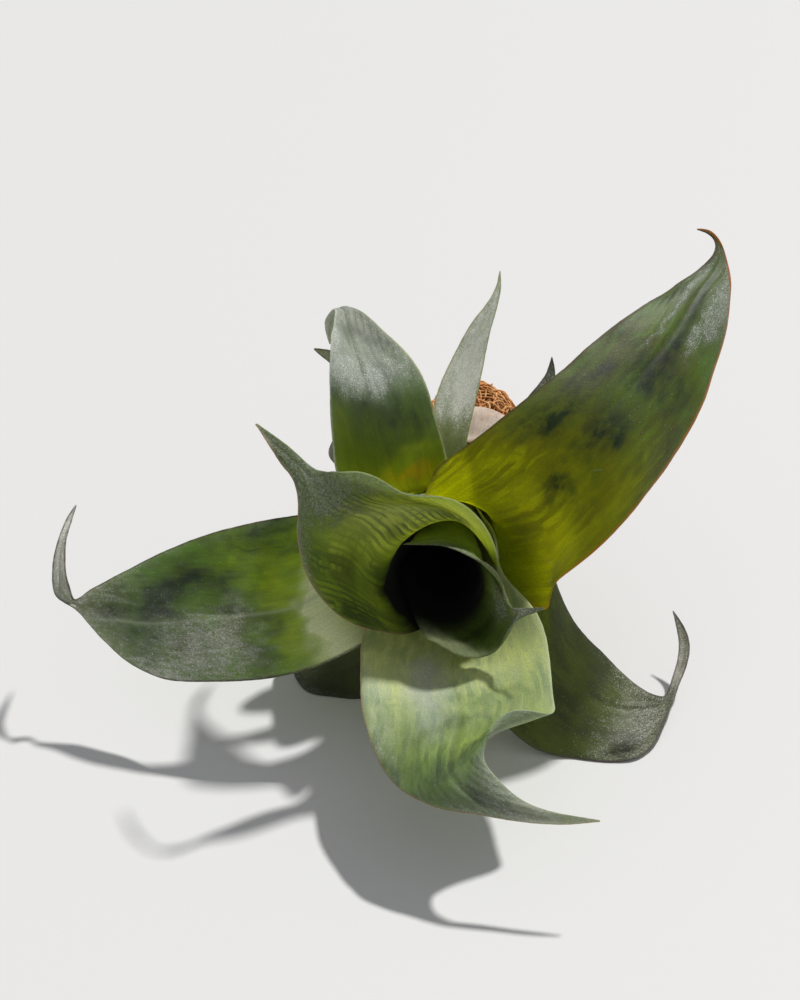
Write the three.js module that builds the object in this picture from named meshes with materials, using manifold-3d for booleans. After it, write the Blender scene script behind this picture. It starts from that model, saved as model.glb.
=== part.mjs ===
// A young tank bromeliad with its root ball, lying on its side.
// Every leaf is its own thin closed body. Its sheath clasps the short stem, opens into the
// funnel with the others and runs out into the blade. Millimetres, +Z up, +Y away from the
// mouth of the funnel. The origin is at the level that the plant rests on, under the middle
// of its box.
import * as THREE from "three";
import { mergeVertices } from "three/addons/utils/BufferGeometryUtils.js";
import Module from "manifold-3d";

// ---- driving dimensions, millimetres ----
const LEAF_THICK_BASE = 1.1; // along the midrib, where the sheath clasps the stem
const LEAF_THICK_BLADE = 0.8; // along the midrib, in the blade
const LEAF_THICK_MARGIN = 0.5; // at the margins and the tip
const LEAF_THICK_LEAST = 0.3; // in the tightest bends
const SMOOTHING = 2; // passes over the directions in which a leaf is thickened
const TIP_WIDTH = 1.4; // least width of a leaf, at its tip
const GAP = 0.3; // between pieces that touch
const STEM_RADIUS = 7.2;
const STEM_LENGTH = 29.5;
const ROOTBALL_RADIUS = 15.8; // across the stem
const ROOTBALL_HALF_LENGTH = 18.8; // along the stem
const ROOT_RADIUS = 0.75;
const BLADE_COLS = 8; // facets across a large leaf
const BLADE_ROWS = 20; // facets along a large leaf
const SMALL_COLS = 6;
const SMALL_ROWS = 9;

// Stem axis: from the face of the root ball to the middle of the funnel's mouth.
const AXIS_BACK = new THREE.Vector3(23.63, 44.59, 52.01);
const AXIS_MOUTH = new THREE.Vector3(12.42, -17.53, 51.71);

// Leaf stations, base to tip. Each row holds five points across the leaf, from its left
// margin to its right one, looking at the upper face with the tip up.
const LEAVES = {
  heart_leaf: [
    [[15.3, 17.76, 53.48], [19.8, 16.94, 55.49], [22.35, 16.5, 51.22], [18.52, 17.2, 48.09], [14.97, 17.83, 51.55]],
    [[11.91, 9.74, 54.68], [19.11, 8.43, 57.57], [23.05, 7.75, 50.78], [17.08, 8.85, 45.78], [11.27, 9.87, 50.99]],
    [[6.39, 1.49, 57.17], [18.68, -0.75, 60.51], [24.08, -1.67, 50.27], [15.57, -0.1, 42.51], [5.14, 1.75, 49.92]],
    [[4.06, -6.73, 59.68], [18.79, -9.4, 62.58], [25.21, -10.5, 49.75], [14.88, -8.58, 39.93], [2, -6.3, 47.77]],
    [[3.79, -9.35, 60.9], [18.31, -11.47, 62.34], [25.28, -16.02, 50.87], [19.57, -21.89, 41.78], [7.52, -22.99, 39.97]],
    [[13.75, -12.38, 62.41], [22.87, -13.2, 59.72], [27.78, -18.74, 50.43], [22.7, -24.33, 40.97], [10.93, -26.02, 38.73]],
    [[21.06, -16.32, 62.13], [26.84, -15.13, 55.94], [29.98, -21.77, 49.52], [26.05, -26.36, 40.92], [16.62, -29.05, 37.13]],
    [[27.29, -18.44, 59.46], [29.79, -18.11, 53.38], [31.59, -24.5, 49.11], [29.13, -28.54, 42.24], [23.11, -31.47, 37.26]],
    [[30.15, -20.86, 55.26], [31.3, -22.08, 52.04], [32.64, -26.62, 49.32], [31.63, -29.73, 44.75], [28.71, -31.77, 40.42]],
    [[31, -23.59, 51.28], [32.72, -25.73, 50.97], [33.41, -28.14, 49.79], [32.85, -30.28, 47.94], [31.13, -31.47, 45.95]],
    [[34.77, -27.83, 52.23], [35.12, -28.73, 52.29], [35.26, -29.65, 52.03], [35.19, -30.34, 51.6], [34.95, -30.86, 51.02]],
    [[38.53, -30.26, 54.28], [38.59, -30.57, 54.12], [38.65, -30.86, 53.93], [38.72, -31.18, 53.7], [38.78, -31.47, 53.44]],
    [[41.33, -32.08, 55.79], [41.42, -32.08, 55.71], [41.48, -32.08, 55.61], [41.5, -32.08, 55.51], [41.48, -32.08, 55.4]],
  ],
  funnel_leaf: [
    [[21.38, 19.15, 47.55], [15.31, 20.24, 48.87], [15.52, 20.17, 55.17], [21.67, 19.06, 56.05], [23.59, 18.74, 50.05]],
    [[19.9, 11.43, 44.13], [11.01, 13.02, 47.6], [11.84, 12.82, 57.22], [21.17, 11.13, 59.07], [25.5, 10.39, 50.46]],
    [[16.09, -2.63, 37.97], [4.33, 2.22, 46.2], [7.84, 4.91, 59.45], [20.16, 5.45, 61.53], [26.53, 5.88, 52.17]],
    [[11.06, -12.8, 36.21], [-0.48, -7.07, 46.45], [4.14, -2.44, 61.53], [18.62, -0.75, 64.29], [27.61, -1.1, 54.8]],
    [[3.51, -20.56, 37.69], [-4, -15.8, 48.82], [0.06, -9.05, 60.68], [16.76, -5.98, 67.52], [29.49, -9.05, 52.82]],
    [[-5.1, -22.68, 40.1], [-12.63, -17.17, 54.27], [-6.75, -10.26, 68.6], [12.63, -5.41, 70.39], [27.81, -9.65, 62.18]],
    [[-15.05, -23.59, 45.53], [-19.79, -18.26, 59.98], [-13.77, -11.47, 73.29], [4.07, -3.59, 71.56], [20.59, -6.02, 71.52]],
    [[-23.95, -22.38, 57.11], [-24.39, -17.66, 68.15], [-18.77, -12.08, 77.17], [-3.06, -4.2, 74.77], [11.75, -4.5, 74.28]],
    [[-27.41, -19.35, 69.93], [-26.17, -15.9, 76.55], [-22.05, -12.08, 81.62], [-9.84, -5.11, 79.2], [2.06, -5.41, 76.3]],
    [[-27.28, -16.32, 79.47], [-26.06, -13.86, 82.56], [-23.68, -11.47, 84.95], [-16.51, -7.53, 84.12], [-9.49, -6.93, 84.38]],
    [[-28.39, -12.68, 85.1], [-27.4, -11.65, 86.63], [-25.89, -10.56, 87.54], [-23.15, -9.35, 86.89], [-20.4, -8.44, 85.59]],
    [[-31.52, -9.05, 88.03], [-30.74, -8.59, 89.27], [-29.54, -8.14, 90.12], [-28.32, -7.8, 90.45], [-27.04, -7.53, 90.39]],
    [[-35.97, -1.77, 90.76], [-35.43, -1.41, 90.94], [-34.86, -1.17, 91.2], [-34.04, -1.04, 91.67], [-33.28, -1.17, 92.21]],
    [[-39.85, 7.92, 90.82], [-40.06, 8.22, 90.63], [-39.8, 8.53, 90.59], [-39.7, 8.55, 90.62], [-39.6, 8.53, 90.66]],
  ],
  front_leaf: [
    [[21.72, 20.89, 56.9], [24.84, 20.36, 51.42], [20.84, 21.1, 46.57], [14.99, 22.15, 48.73], [14.99, 22.12, 55.06]],
    [[24.28, 10.57, 59.01], [27.06, 10.11, 49.48], [20.21, 11.38, 42.4], [10.79, 13.07, 45.05], [8.5, 13.44, 54.71]],
    [[26.43, 7.72, 57.43], [27.94, 4.11, 47.21], [19.62, 2.27, 38.49], [7.21, 3.27, 40.51], [1.78, 4.19, 52.05]],
    [[28.93, 1.12, 55.76], [28.8, -3.42, 44.24], [19.05, -6.85, 34.49], [4.49, -7.3, 35.73], [-4.23, -6.4, 47.51]],
    [[31.11, -6.93, 48.71], [27.18, -12.41, 38.43], [18.09, -16.93, 31.49], [3.87, -19.47, 29.97], [-9.21, -18.14, 36.14]],
    [[39.16, -17.53, 44.81], [29.51, -24.11, 36.02], [16.43, -28.14, 30.89], [3.01, -29.08, 30.06], [-9.98, -27.23, 33.1]],
    [[43.22, -31.17, 39.93], [30.9, -37.19, 34.99], [17.04, -40.26, 31.67], [3.48, -40.27, 30.24], [-9.87, -37.53, 30.51]],
    [[43.88, -47.83, 36.18], [30.88, -50.37, 33.98], [17.65, -51.47, 31.98], [4.48, -51.12, 30.22], [-8.6, -49.35, 28.71]],
    [[43.02, -53.89, 35.49], [29.82, -57.65, 33.66], [16.38, -59.96, 31.27], [5.45, -60.74, 28.96], [-5.43, -60.56, 26.33]],
    [[35.37, -55.71, 38.47], [25.72, -62.34, 35.11], [15.15, -66.93, 31.2], [7.15, -68.88, 28.12], [-0.98, -69.65, 24.9]],
    [[29.22, -58.14, 38.37], [22.84, -66.06, 34.59], [14.8, -71.77, 30.07], [9.63, -73.9, 27.25], [4.2, -75.11, 24.35]],
    [[25.27, -63.59, 35.51], [21.47, -70.4, 33.08], [16.91, -75.71, 28.9], [14.5, -77.64, 26.29], [12.05, -79.05, 23.4]],
    [[24.04, -69.65, 33.6], [22.15, -74.69, 31.65], [20.37, -78.74, 28.03], [19.66, -80.12, 25.97], [19.04, -81.17, 23.71]],
    [[26.61, -75.11, 31.97], [25.75, -78.5, 29.99], [25.98, -81.17, 26.98], [26.54, -82.11, 25.17], [27.37, -82.68, 23.29]],
    [[33.51, -80.56, 28.24], [33.81, -82.1, 27.33], [34.27, -83.29, 26.04], [34.8, -83.97, 24.61], [35.4, -84.2, 23.06]],
    [[42.79, -84.2, 26.7], [43.06, -84.72, 26.17], [43.32, -85.11, 25.55], [43.66, -85.41, 24.54], [43.93, -85.41, 23.47]],
    [[54.79, -86.02, 25.56], [54.8, -86.02, 25.43], [54.81, -86.02, 25.3], [54.81, -86.02, 25.18], [54.82, -86.02, 25.05]],
  ],
  upper_right_leaf: [
    [[13.84, 24.19, 51.17], [16.82, 23.62, 57.18], [23.43, 22.43, 56.68], [25.51, 22.09, 50.29], [20.49, 23.02, 45.89]],
    [[7.71, 15.42, 54.87], [14.71, 14.13, 62.23], [24.64, 12.34, 60.46], [28.75, 11.65, 51.1], [23.41, 12.65, 42.41]],
    [[3.75, 6.87, 61.17], [14.23, 4.95, 67.57], [26.05, 2.83, 64.35], [31.99, 1.81, 53.48], [28.42, 2.51, 41.59]],
    [[8.44, 3.98, 69.06], [19.66, 2.51, 69.58], [30.06, 0.04, 65.83], [40.72, -4.63, 53.67], [42.43, -9.05, 37.52]],
    [[11.58, 6.11, 76.36], [26.25, 4.82, 76.91], [38.92, 1.26, 70.26], [46.05, -3.64, 58.13], [45.43, -8.44, 44.03]],
    [[19.02, 8.23, 82.22], [32.71, 6.86, 81.89], [44.33, 3.68, 75.23], [51.26, -0.95, 62.66], [50.09, -5.41, 48.3]],
    [[28.59, 13.98, 87.04], [40.69, 12.57, 85.92], [51.1, 9.74, 80.17], [59.07, 4.95, 67.91], [59.25, 0.04, 53.32]],
    [[38.89, 21.86, 91.58], [50.01, 20.42, 90.58], [59.75, 17.62, 85.7], [68.04, 12.65, 74.84], [69.59, 7.32, 61.4]],
    [[49.41, 30.95, 95.49], [59.49, 29.74, 94.52], [68.41, 27.32, 90.19], [76.52, 22.71, 80.1], [78.34, 17.62, 67.45]],
    [[60.18, 41.56, 99.66], [68.94, 40.54, 98.41], [76.74, 38.53, 94.62], [84.56, 34.47, 85.82], [87.31, 29.74, 74.64]],
    [[72.88, 53.98, 102.29], [79.3, 53.1, 101.41], [85.13, 51.56, 98.88], [91.81, 48.23, 92.35], [94.75, 44.29, 83.73]],
    [[84.56, 66.71, 102.56], [88.62, 66.52, 103.3], [92.64, 65.8, 102.73], [98.33, 63.51, 98.81], [100.44, 60.65, 92.45]],
    [[92.85, 74.59, 104.37], [95.14, 74.77, 104.02], [97.36, 74.59, 103.33], [100.21, 73.7, 101.81], [102.41, 72.17, 99.8]],
    [[97.54, 80.04, 106.92], [98.58, 80.52, 106.69], [99.65, 80.65, 106.23], [100.86, 80.3, 105.41], [101.65, 79.44, 104.46]],
    [[97.86, 83.07, 109.09], [98.29, 83.52, 108.95], [98.88, 83.68, 108.75], [99.47, 83.52, 108.55], [99.91, 83.07, 108.39]],
    [[95.46, 84.89, 110.88], [95.68, 85.08, 111.04], [95.93, 85.2, 111.24], [96.15, 85.23, 111.41], [96.36, 85.2, 111.58]],
    [[92.55, 85.5, 111.66], [92.53, 85.5, 111.75], [92.53, 85.5, 111.84], [92.56, 85.5, 111.93], [92.61, 85.5, 112.01]],
  ],
  left_leaf: [
    [[24.62, 24.11, 47.31], [17.89, 25.33, 45.79], [13.69, 26.06, 51.35], [16.87, 25.46, 57.56], [23.75, 24.22, 57.25]],
    [[22.86, 13.99, 40.85], [12.19, 15.91, 41.61], [6.52, 16.89, 50.82], [10.52, 16.12, 60.9], [20.89, 14.24, 63.53]],
    [[12.02, 5.2, 34.03], [2.97, 6.81, 39.55], [-1.5, 7.57, 49.26], [0.14, 7.22, 59.85], [7.33, 5.89, 67.69]],
    [[6.08, -2.02, 30.58], [-2.93, -0.43, 37.6], [-7.47, 0.34, 48.17], [-6.39, 0.09, 59.65], [0.03, -1.12, 69.16]],
    [[-10.1, -19.35, 32.31], [-15.72, -13.61, 37.94], [-18.3, -7.23, 44.94], [-15.97, 1.8, 56.04], [-6.95, 8.23, 65.4]],
    [[-21.95, -23.59, 28.3], [-26.22, -17.12, 33.97], [-28.5, -10.26, 40.3], [-27.96, -0.07, 50.2], [-22.84, 9.14, 59.75]],
    [[-34.99, -25.41, 25.31], [-37.79, -18.43, 31.57], [-39.28, -11.47, 38.29], [-39.09, -2.03, 48.24], [-36.26, 6.71, 58.42]],
    [[-46.63, -25.41, 23.82], [-48.89, -18.77, 31], [-50.02, -12.08, 38.39], [-49.83, -3.79, 47.75], [-47.88, 4.29, 57.1]],
    [[-58.52, -22.99, 21.63], [-60.24, -17.22, 30.05], [-60.89, -10.86, 38.19], [-60.43, -3.8, 46.15], [-58.83, 3.68, 53.57]],
    [[-69.16, -19.05, 19.9], [-71.16, -14.43, 28.97], [-71.65, -8.44, 37.42], [-70.95, -2.96, 43.37], [-69.33, 3.07, 48.56]],
    [[-78.36, -13.89, 21.18], [-80.3, -10.42, 29.17], [-80.49, -5.41, 36.56], [-79.75, -1.79, 40.51], [-78.37, 2.17, 43.92]],
    [[-86.03, -8.44, 24.92], [-87.3, -6.23, 30.28], [-87.31, -2.99, 35.26], [-86.81, -0.95, 37.58], [-85.96, 1.26, 39.63]],
    [[-91.71, -4.5, 29.71], [-92.23, -3.3, 32.17], [-92.23, -1.77, 34.51], [-92.02, -0.89, 35.62], [-91.67, 0.04, 36.65]],
    [[-95.93, -1.77, 32.65], [-95.88, -1.12, 32.85], [-95.73, -0.56, 33.21], [-95.53, -0.2, 33.6], [-95.29, 0.04, 34.05]],
    [[-100.15, 0.04, 34.42], [-99.26, 0.42, 34.91], [-98.36, 0.65, 35.45], [-97.33, 0.74, 36.09], [-96.32, 0.65, 36.75]],
    [[-101.97, 3.68, 37.43], [-100.87, 3.71, 37.97], [-99.79, 3.68, 38.54], [-98.6, 3.57, 39.2], [-97.42, 3.38, 39.88]],
    [[-102.17, 9.14, 41.14], [-101.23, 8.98, 41.44], [-100.3, 8.83, 41.74], [-99.36, 8.68, 42.03], [-98.42, 8.53, 42.33]],
    [[-101.14, 15.2, 44.47], [-100.51, 15.04, 44.58], [-99.88, 14.89, 44.69], [-99.26, 14.74, 44.8], [-98.63, 14.59, 44.91]],
    [[-99.58, 22.47, 46.63], [-99.19, 22.47, 46.44], [-98.79, 22.47, 46.26], [-98.39, 22.47, 46.07], [-97.98, 22.47, 45.89]],
    [[-97.45, 30.35, 46.98], [-97.39, 30.5, 46.88], [-97.35, 30.65, 46.77], [-97.3, 30.81, 46.62], [-97.26, 30.95, 46.44]],
  ],
  lower_right_leaf: [
    [[20.16, 26.71, 58.8], [26.08, 25.66, 55.67], [26.49, 25.61, 48.91], [21, 26.62, 45.07], [14.93, 27.71, 47.88]],
    [[23.6, 15.29, 63.5], [30.29, 14.12, 56.23], [29.78, 14.25, 46.29], [22.4, 15.62, 39.77], [12.65, 17.37, 40.64]],
    [[29.48, 4.67, 65.12], [34.76, 3.77, 55.04], [33.21, 4.1, 43.72], [25.41, 5.55, 35.51], [14.34, 7.56, 33.52]],
    [[38.78, 1.26, 62.01], [40.1, -0.33, 51.19], [37.57, -2.99, 40.8], [29.97, -7.1, 30.82], [18.78, -11.47, 25.34]],
    [[46.06, -1.77, 45.34], [45.27, -5.87, 37.54], [43.03, -10.26, 30.19], [36.88, -17.3, 20.23], [27.88, -24.2, 12.62]],
    [[53.2, -2.99, 27.21], [50.01, -10.26, 24.42], [47.05, -16.93, 20.24], [43.51, -24.76, 12.38], [40.82, -30.51, 2.62]],
    [[61.19, -2.38, 16.84], [59.38, -10.15, 14.5], [57.43, -17.53, 11.2], [55.04, -25.36, 6.33], [52.54, -32.37, 0.37]],
    [[68.26, -2.52, 8.07], [67.15, -8.74, 6.16], [65.98, -15, 4.44], [64.11, -24.42, 2.2], [62.1, -33.91, 0.37]],
    [[74.05, -7.14, 5.65], [73.51, -10.55, 4.33], [73, -14.03, 3.22], [71.77, -23.19, 1.36], [70.68, -32.55, 0.92]],
    [[78.12, -9.33, 4.74], [78.03, -10.96, 3.92], [77.91, -12.64, 3.22], [77.29, -19.6, 1.64], [76.41, -26.69, 2.01]],
    [[80.88, -8.97, 4.44], [81.13, -9.98, 4.08], [81.32, -11.04, 3.83], [81.46, -14.23, 3.69], [80.98, -17.3, 4.44]],
    [[82.36, -6.57, 5.95], [82.84, -6.93, 5.95], [83.34, -7.27, 5.95], [83.9, -7.64, 5.95], [84.48, -7.98, 5.95]],
    [[84.84, 0.44, 8.37], [85.49, 0.19, 8.35], [86.15, -0.03, 8.37], [86.96, -0.25, 8.49], [87.76, -0.41, 8.68]],
    [[86.24, 7.1, 10.8], [87, 7.14, 10.77], [87.76, 7.1, 10.8], [88.59, 6.96, 10.91], [89.38, 6.72, 11.1]],
    [[85.98, 12.38, 13.22], [86.59, 12.43, 13.19], [87.21, 12.38, 13.22], [87.81, 12.24, 13.34], [88.37, 12, 13.53]],
    [[84.98, 17.62, 16.13], [85.02, 17.62, 16.13], [85.07, 17.62, 16.13], [85.17, 17.62, 16.1], [85.26, 17.62, 16.05]],
  ],
  upper_left_leaf: [
    [[15.48, 29.46, 47.13], [13.87, 29.72, 53.67], [18.3, 28.89, 58.68], [24.88, 27.71, 57.74], [27.79, 27.21, 51.68]],
    [[4.94, 19.65, 48.91], [6.84, 19.88, 58.61], [14.58, 19.68, 64.21], [23.53, 20.54, 62.76], [28.68, 22.1, 56.67]],
    [[-1.76, 11.58, 57.68], [2.92, 11.62, 64.92], [10.59, 12.38, 68.61], [18.78, 14.6, 67.7], [24.91, 17.2, 63.9]],
    [[-15.43, 10.95, 68.12], [-8.14, 9.07, 66.93], [-0.54, 8.53, 66.96], [8.38, 9.71, 68.59], [16.37, 12.77, 71.82]],
    [[-18.11, 13.98, 78.03], [-10.84, 12.03, 76.26], [-3.14, 11.56, 75.81], [5.6, 12.89, 76.94], [13.42, 16.11, 79.75]],
    [[-18.78, 17.92, 86.54], [-12.29, 15.9, 85.23], [-5.44, 15.2, 84.52], [3.26, 16.26, 84.53], [11.38, 19.44, 85.56]],
    [[-19.04, 22.47, 94.96], [-13.69, 20.79, 93.62], [-8.04, 20.04, 92.74], [0.75, 20.77, 92.36], [9.04, 23.68, 93.17]],
    [[-19, 30.35, 100.3], [-14.97, 29.19, 98.93], [-10.71, 28.53, 98.01], [-2.88, 28.63, 97.54], [4.7, 30.35, 98.6]],
    [[-18.44, 39.44, 103.32], [-16.05, 38.72, 102], [-13.46, 38.23, 100.98], [-7.3, 37.95, 99.93], [-1.14, 38.83, 100.62]],
    [[-18.06, 48.53, 103.07], [-16.61, 48.2, 102.5], [-15.1, 47.92, 102.06], [-11.11, 47.44, 101.59], [-7.09, 47.32, 102.07]],
    [[-18.52, 54.29, 101.59], [-17.51, 54.69, 101.65], [-16.44, 54.89, 101.76], [-14.54, 54.75, 102.06], [-12.83, 53.98, 102.46]],
    [[-20.31, 57.62, 98.09], [-19.68, 58, 98.36], [-18.96, 58.23, 98.6], [-18.21, 58.3, 98.8], [-17.45, 58.23, 98.95]],
    [[-21.5, 59.74, 94.04], [-20.83, 59.93, 94.17], [-20.14, 60.04, 94.22], [-19.45, 60.08, 94.17], [-18.78, 60.04, 94.04]],
    [[-21.32, 61.26, 89.27], [-20.89, 61.26, 89.27], [-20.47, 61.26, 89.27], [-20.06, 61.26, 89.27], [-19.65, 61.26, 89.27]],
    [[-20.35, 61.86, 85], [-20.27, 61.86, 85], [-20.19, 61.86, 85], [-20.12, 61.86, 85], [-20.04, 61.86, 85]],
  ],
  lower_left_leaf: [
    [[27.95, 29.04, 49.39], [22.95, 29.97, 44.74], [16.34, 31.15, 46.23], [13.74, 31.59, 52.59], [17.38, 30.91, 58.4]],
    [[28.51, 19.13, 41.54], [19.58, 20.76, 37.96], [10.52, 22.38, 41.22], [5.78, 23.19, 49.71], [7.69, 22.8, 59.28]],
    [[24.87, 11.2, 34.15], [14.9, 13, 33], [5.76, 14.63, 37.23], [0.06, 15.62, 45.64], [-0.56, 15.68, 55.82]],
    [[20.6, 4.89, 28.98], [8.7, 5.92, 27.26], [-2.43, 7.32, 31.71], [-9.87, 8.72, 41.22], [-11.52, 9.74, 53.22]],
    [[9.09, -1.17, 15.65], [-1.42, 1.04, 17.52], [-10.31, 4.29, 22.92], [-16.76, 8.51, 31.99], [-18.79, 12.77, 42.92]],
    [[-1.82, -4.8, 4.13], [-10.21, -1.68, 8.45], [-16.97, 2.47, 14.44], [-22.26, 8.27, 23.04], [-24.25, 14.59, 32.62]],
    [[-10.91, -5.41, 0.37], [-16.93, -2.12, 3.91], [-21.82, 1.86, 8.37], [-26.39, 8.3, 15.86], [-27.88, 15.2, 24.13]],
    [[-20.61, -4.2, 0.37], [-23.37, -0.88, 2.03], [-25.76, 2.47, 4.13], [-29.17, 8.75, 9.28], [-30.91, 14.59, 15.65]],
    [[-27.28, -1.77, 0.5], [-28.15, 1.63, 1.18], [-29.09, 4.89, 2.31], [-30.88, 10.19, 5.36], [-32.73, 14.59, 9.59]],
    [[-30.91, 4.89, 0.8], [-31.14, 7.37, 1.6], [-31.52, 9.74, 2.62], [-32.41, 13.28, 4.66], [-33.64, 16.41, 7.16]],
    [[-32.12, 13.38, 2.01], [-32.2, 15.22, 2.72], [-32.43, 17.01, 3.53], [-32.92, 19.2, 4.68], [-33.64, 21.26, 5.95]],
    [[-31.82, 23.07, 4.44], [-31.79, 23.99, 4.88], [-31.82, 24.89, 5.34], [-31.93, 25.97, 5.94], [-32.12, 27.01, 6.56]],
    [[-30.31, 32.17, 9.59], [-30.31, 32.48, 9.72], [-30.31, 32.77, 9.89], [-30.31, 33.1, 10.17], [-30.31, 33.38, 10.5]],
    [[-28.49, 37.01, 15.04], [-28.49, 37.07, 15.04], [-28.49, 37.14, 15.04], [-28.49, 37.2, 15.04], [-28.49, 37.26, 15.04]],
  ],
  right_hidden_leaf: [
    [[18.91, 32.47, 59.2], [24.79, 31.41, 58.78], [28.59, 30.75, 54.19], [27.97, 30.89, 48.23], [23.33, 31.75, 44.54]],
    [[21.05, 24.05, 64.59], [27.85, 22.84, 61.8], [31.95, 22.13, 55.63], [31.95, 22.17, 48.19], [27.86, 22.94, 42.02]],
    [[29.09, 20.04, 71.41], [31.72, 17.31, 65.58], [34.54, 16.41, 59.28], [37.05, 17.19, 53.66], [39.39, 19.44, 48.37]],
    [[38.18, 23.68, 75.65], [40.51, 21.67, 70.33], [43.03, 21.26, 64.74], [45.2, 22.2, 60.03], [47.27, 24.29, 55.65]],
    [[46.66, 32.17, 79.28], [48.73, 30.65, 75.15], [50.91, 30.35, 70.8], [52.78, 31.1, 67.04], [54.54, 32.77, 63.53]],
    [[53.33, 42.47, 79.89], [54.66, 41.53, 77.22], [56.06, 41.26, 74.44], [57.3, 41.6, 71.96], [58.48, 42.47, 69.59]],
    [[58.18, 52.17, 78.07], [58.77, 51.71, 76.89], [59.39, 51.56, 75.65], [60.01, 51.71, 74.41], [60.6, 52.17, 73.22]],
    [[60.91, 59.44, 74.74], [60.95, 59.44, 74.68], [61, 59.44, 74.62], [61.05, 59.44, 74.53], [61.09, 59.44, 74.44]],
  ],
  back_left_leaf: [
    [[16.33, 34.85, 46.31], [14.05, 35.24, 50.87], [15, 35.04, 55.88], [18.8, 34.34, 59.24], [23.82, 33.43, 59.5]],
    [[10.17, 29.8, 46.75], [9, 29.99, 52.34], [10.54, 29.68, 57.84], [14.45, 28.96, 61.95], [19.8, 27.98, 63.72]],
    [[-13.09, 26.11, 65.63], [-12.17, 25.07, 68.32], [-10.34, 24.89, 70.73], [-8.2, 25.49, 72.31], [-5.9, 26.71, 73.08]],
    [[-15.13, 30.95, 75.97], [-14.22, 30.04, 78.24], [-12.39, 30.04, 80.09], [-10.6, 30.72, 80.93], [-8.86, 31.86, 81.03]],
    [[-16.91, 37.01, 84.77], [-15.92, 36.43, 86.16], [-14.49, 36.41, 87.25], [-13.13, 36.84, 87.79], [-11.83, 37.62, 87.89]],
    [[-19.33, 42.47, 89.77], [-18.74, 42.38, 90.66], [-18.11, 42.47, 91.51], [-17.52, 42.7, 92.23], [-16.91, 43.07, 92.88]],
    [[-22.07, 45.2, 90.72], [-21.84, 45.15, 91.33], [-21.6, 45.2, 91.94], [-21.37, 45.31, 92.46], [-21.14, 45.5, 92.97]],
    [[-24.46, 46.41, 92.38], [-24.46, 46.41, 92.49], [-24.45, 46.41, 92.59], [-24.41, 46.41, 92.7], [-24.36, 46.41, 92.8]],
  ],
  under_leaf: [
    [[29.81, 34.23, 53.08], [28.84, 34.43, 47.97], [24.97, 35.15, 44.55], [19.85, 36.07, 44.28], [15.65, 36.82, 47.27]],
    [[32.69, 27.57, 49.83], [30.22, 28.04, 44.31], [25.42, 28.93, 40.7], [19.5, 30, 39.91], [13.94, 30.99, 42.13]],
    [[40, 30.35, 37.47], [34.49, 30.17, 34.86], [28.48, 30.35, 33.83], [22.86, 30.82, 34.35], [17.57, 31.56, 36.25]],
    [[40.6, 35.8, 25.34], [35.88, 35.27, 23.68], [30.91, 35.2, 22.92], [25.97, 35.58, 23.08], [21.21, 36.41, 24.13]],
    [[40.6, 43.07, 13.83], [36.75, 42.55, 12.63], [32.72, 42.47, 12.01], [28.58, 42.85, 12], [24.54, 43.68, 12.62]],
    [[39.39, 50.95, 5.65], [36.25, 50.66, 4.86], [33.03, 50.65, 4.44], [29.66, 50.95, 4.39], [26.36, 51.56, 4.74]],
    [[37.27, 58.23, 1.41], [34.87, 58.15, 0.91], [32.42, 58.23, 0.71], [29.97, 58.46, 0.81], [27.57, 58.83, 1.22]],
    [[34.54, 64.89, 1.41], [33.07, 65.04, 0.85], [31.51, 65.2, 0.62], [29.97, 65.35, 0.7], [28.48, 65.5, 1.1]],
    [[30.54, 71.56, 2.13], [30.43, 71.65, 2.05], [30.3, 71.74, 2.01], [30.18, 71.81, 2.02], [30.06, 71.86, 2.07]],
  ],
  silver_leaf: [
    [[14.98, 38.75, 55.15], [18.58, 38.08, 59.15], [23.86, 37.12, 59.95], [28.46, 36.3, 57.2], [30.33, 35.99, 52.12]],
    [[14.63, 34.16, 61.6], [17.64, 32.99, 63.77], [21.42, 32.3, 64.38], [25.17, 31.94, 63.53], [28.23, 32.32, 61.19]],
    [[11.99, 29.74, 64.61], [14.46, 29.01, 64.15], [17.07, 28.83, 64.14], [19.78, 29.28, 64.66], [22.16, 30.35, 65.65]],
    [[11.79, 30.95, 71.7], [14.01, 30.24, 70.94], [16.41, 30.04, 70.52], [18.88, 30.39, 70.46], [21.2, 31.26, 70.79]],
    [[11.45, 33.38, 80.06], [14.12, 32.47, 80], [16.92, 32.17, 79.78], [20.02, 32.55, 79.37], [22.91, 33.68, 78.8]],
    [[13.64, 36.41, 87.6], [16.21, 35.48, 87.93], [18.94, 35.2, 88.01], [22.08, 35.69, 87.78], [24.92, 37.01, 87.22]],
    [[18.01, 39.44, 96.82], [20.03, 38.88, 96.63], [22.13, 38.83, 96.5], [24.5, 39.42, 96.42], [26.61, 40.65, 96.43]],
    [[23.02, 44.29, 103.86], [24.33, 43.97, 103.81], [25.67, 43.98, 103.7], [27.31, 44.49, 103.46], [28.68, 45.5, 103.14]],
    [[27.18, 47.92, 107.86], [27.92, 47.86, 107.9], [28.65, 47.92, 107.86], [29.49, 48.15, 107.73], [30.25, 48.53, 107.51]],
    [[29.56, 50.95, 111.21], [29.93, 50.92, 111.23], [30.3, 50.95, 111.21], [30.7, 51.07, 111.14], [31.05, 51.26, 111.03]],
    [[30.67, 53.98, 114.9], [30.71, 53.98, 114.9], [30.76, 53.98, 114.9], [30.8, 53.98, 114.9], [30.85, 53.98, 114.9]],
  ],
  back_under_leaf: [
    [[24.76, 38.88, 44.05], [19.77, 39.78, 44.32], [15.89, 40.47, 47.51], [14.59, 40.68, 52.41], [16.38, 40.33, 57.15]],
    [[20.94, 33.44, 39.25], [15.33, 34.44, 40.93], [11.09, 35.19, 45.02], [9.13, 35.51, 50.63], [9.89, 35.35, 56.52]],
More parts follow.
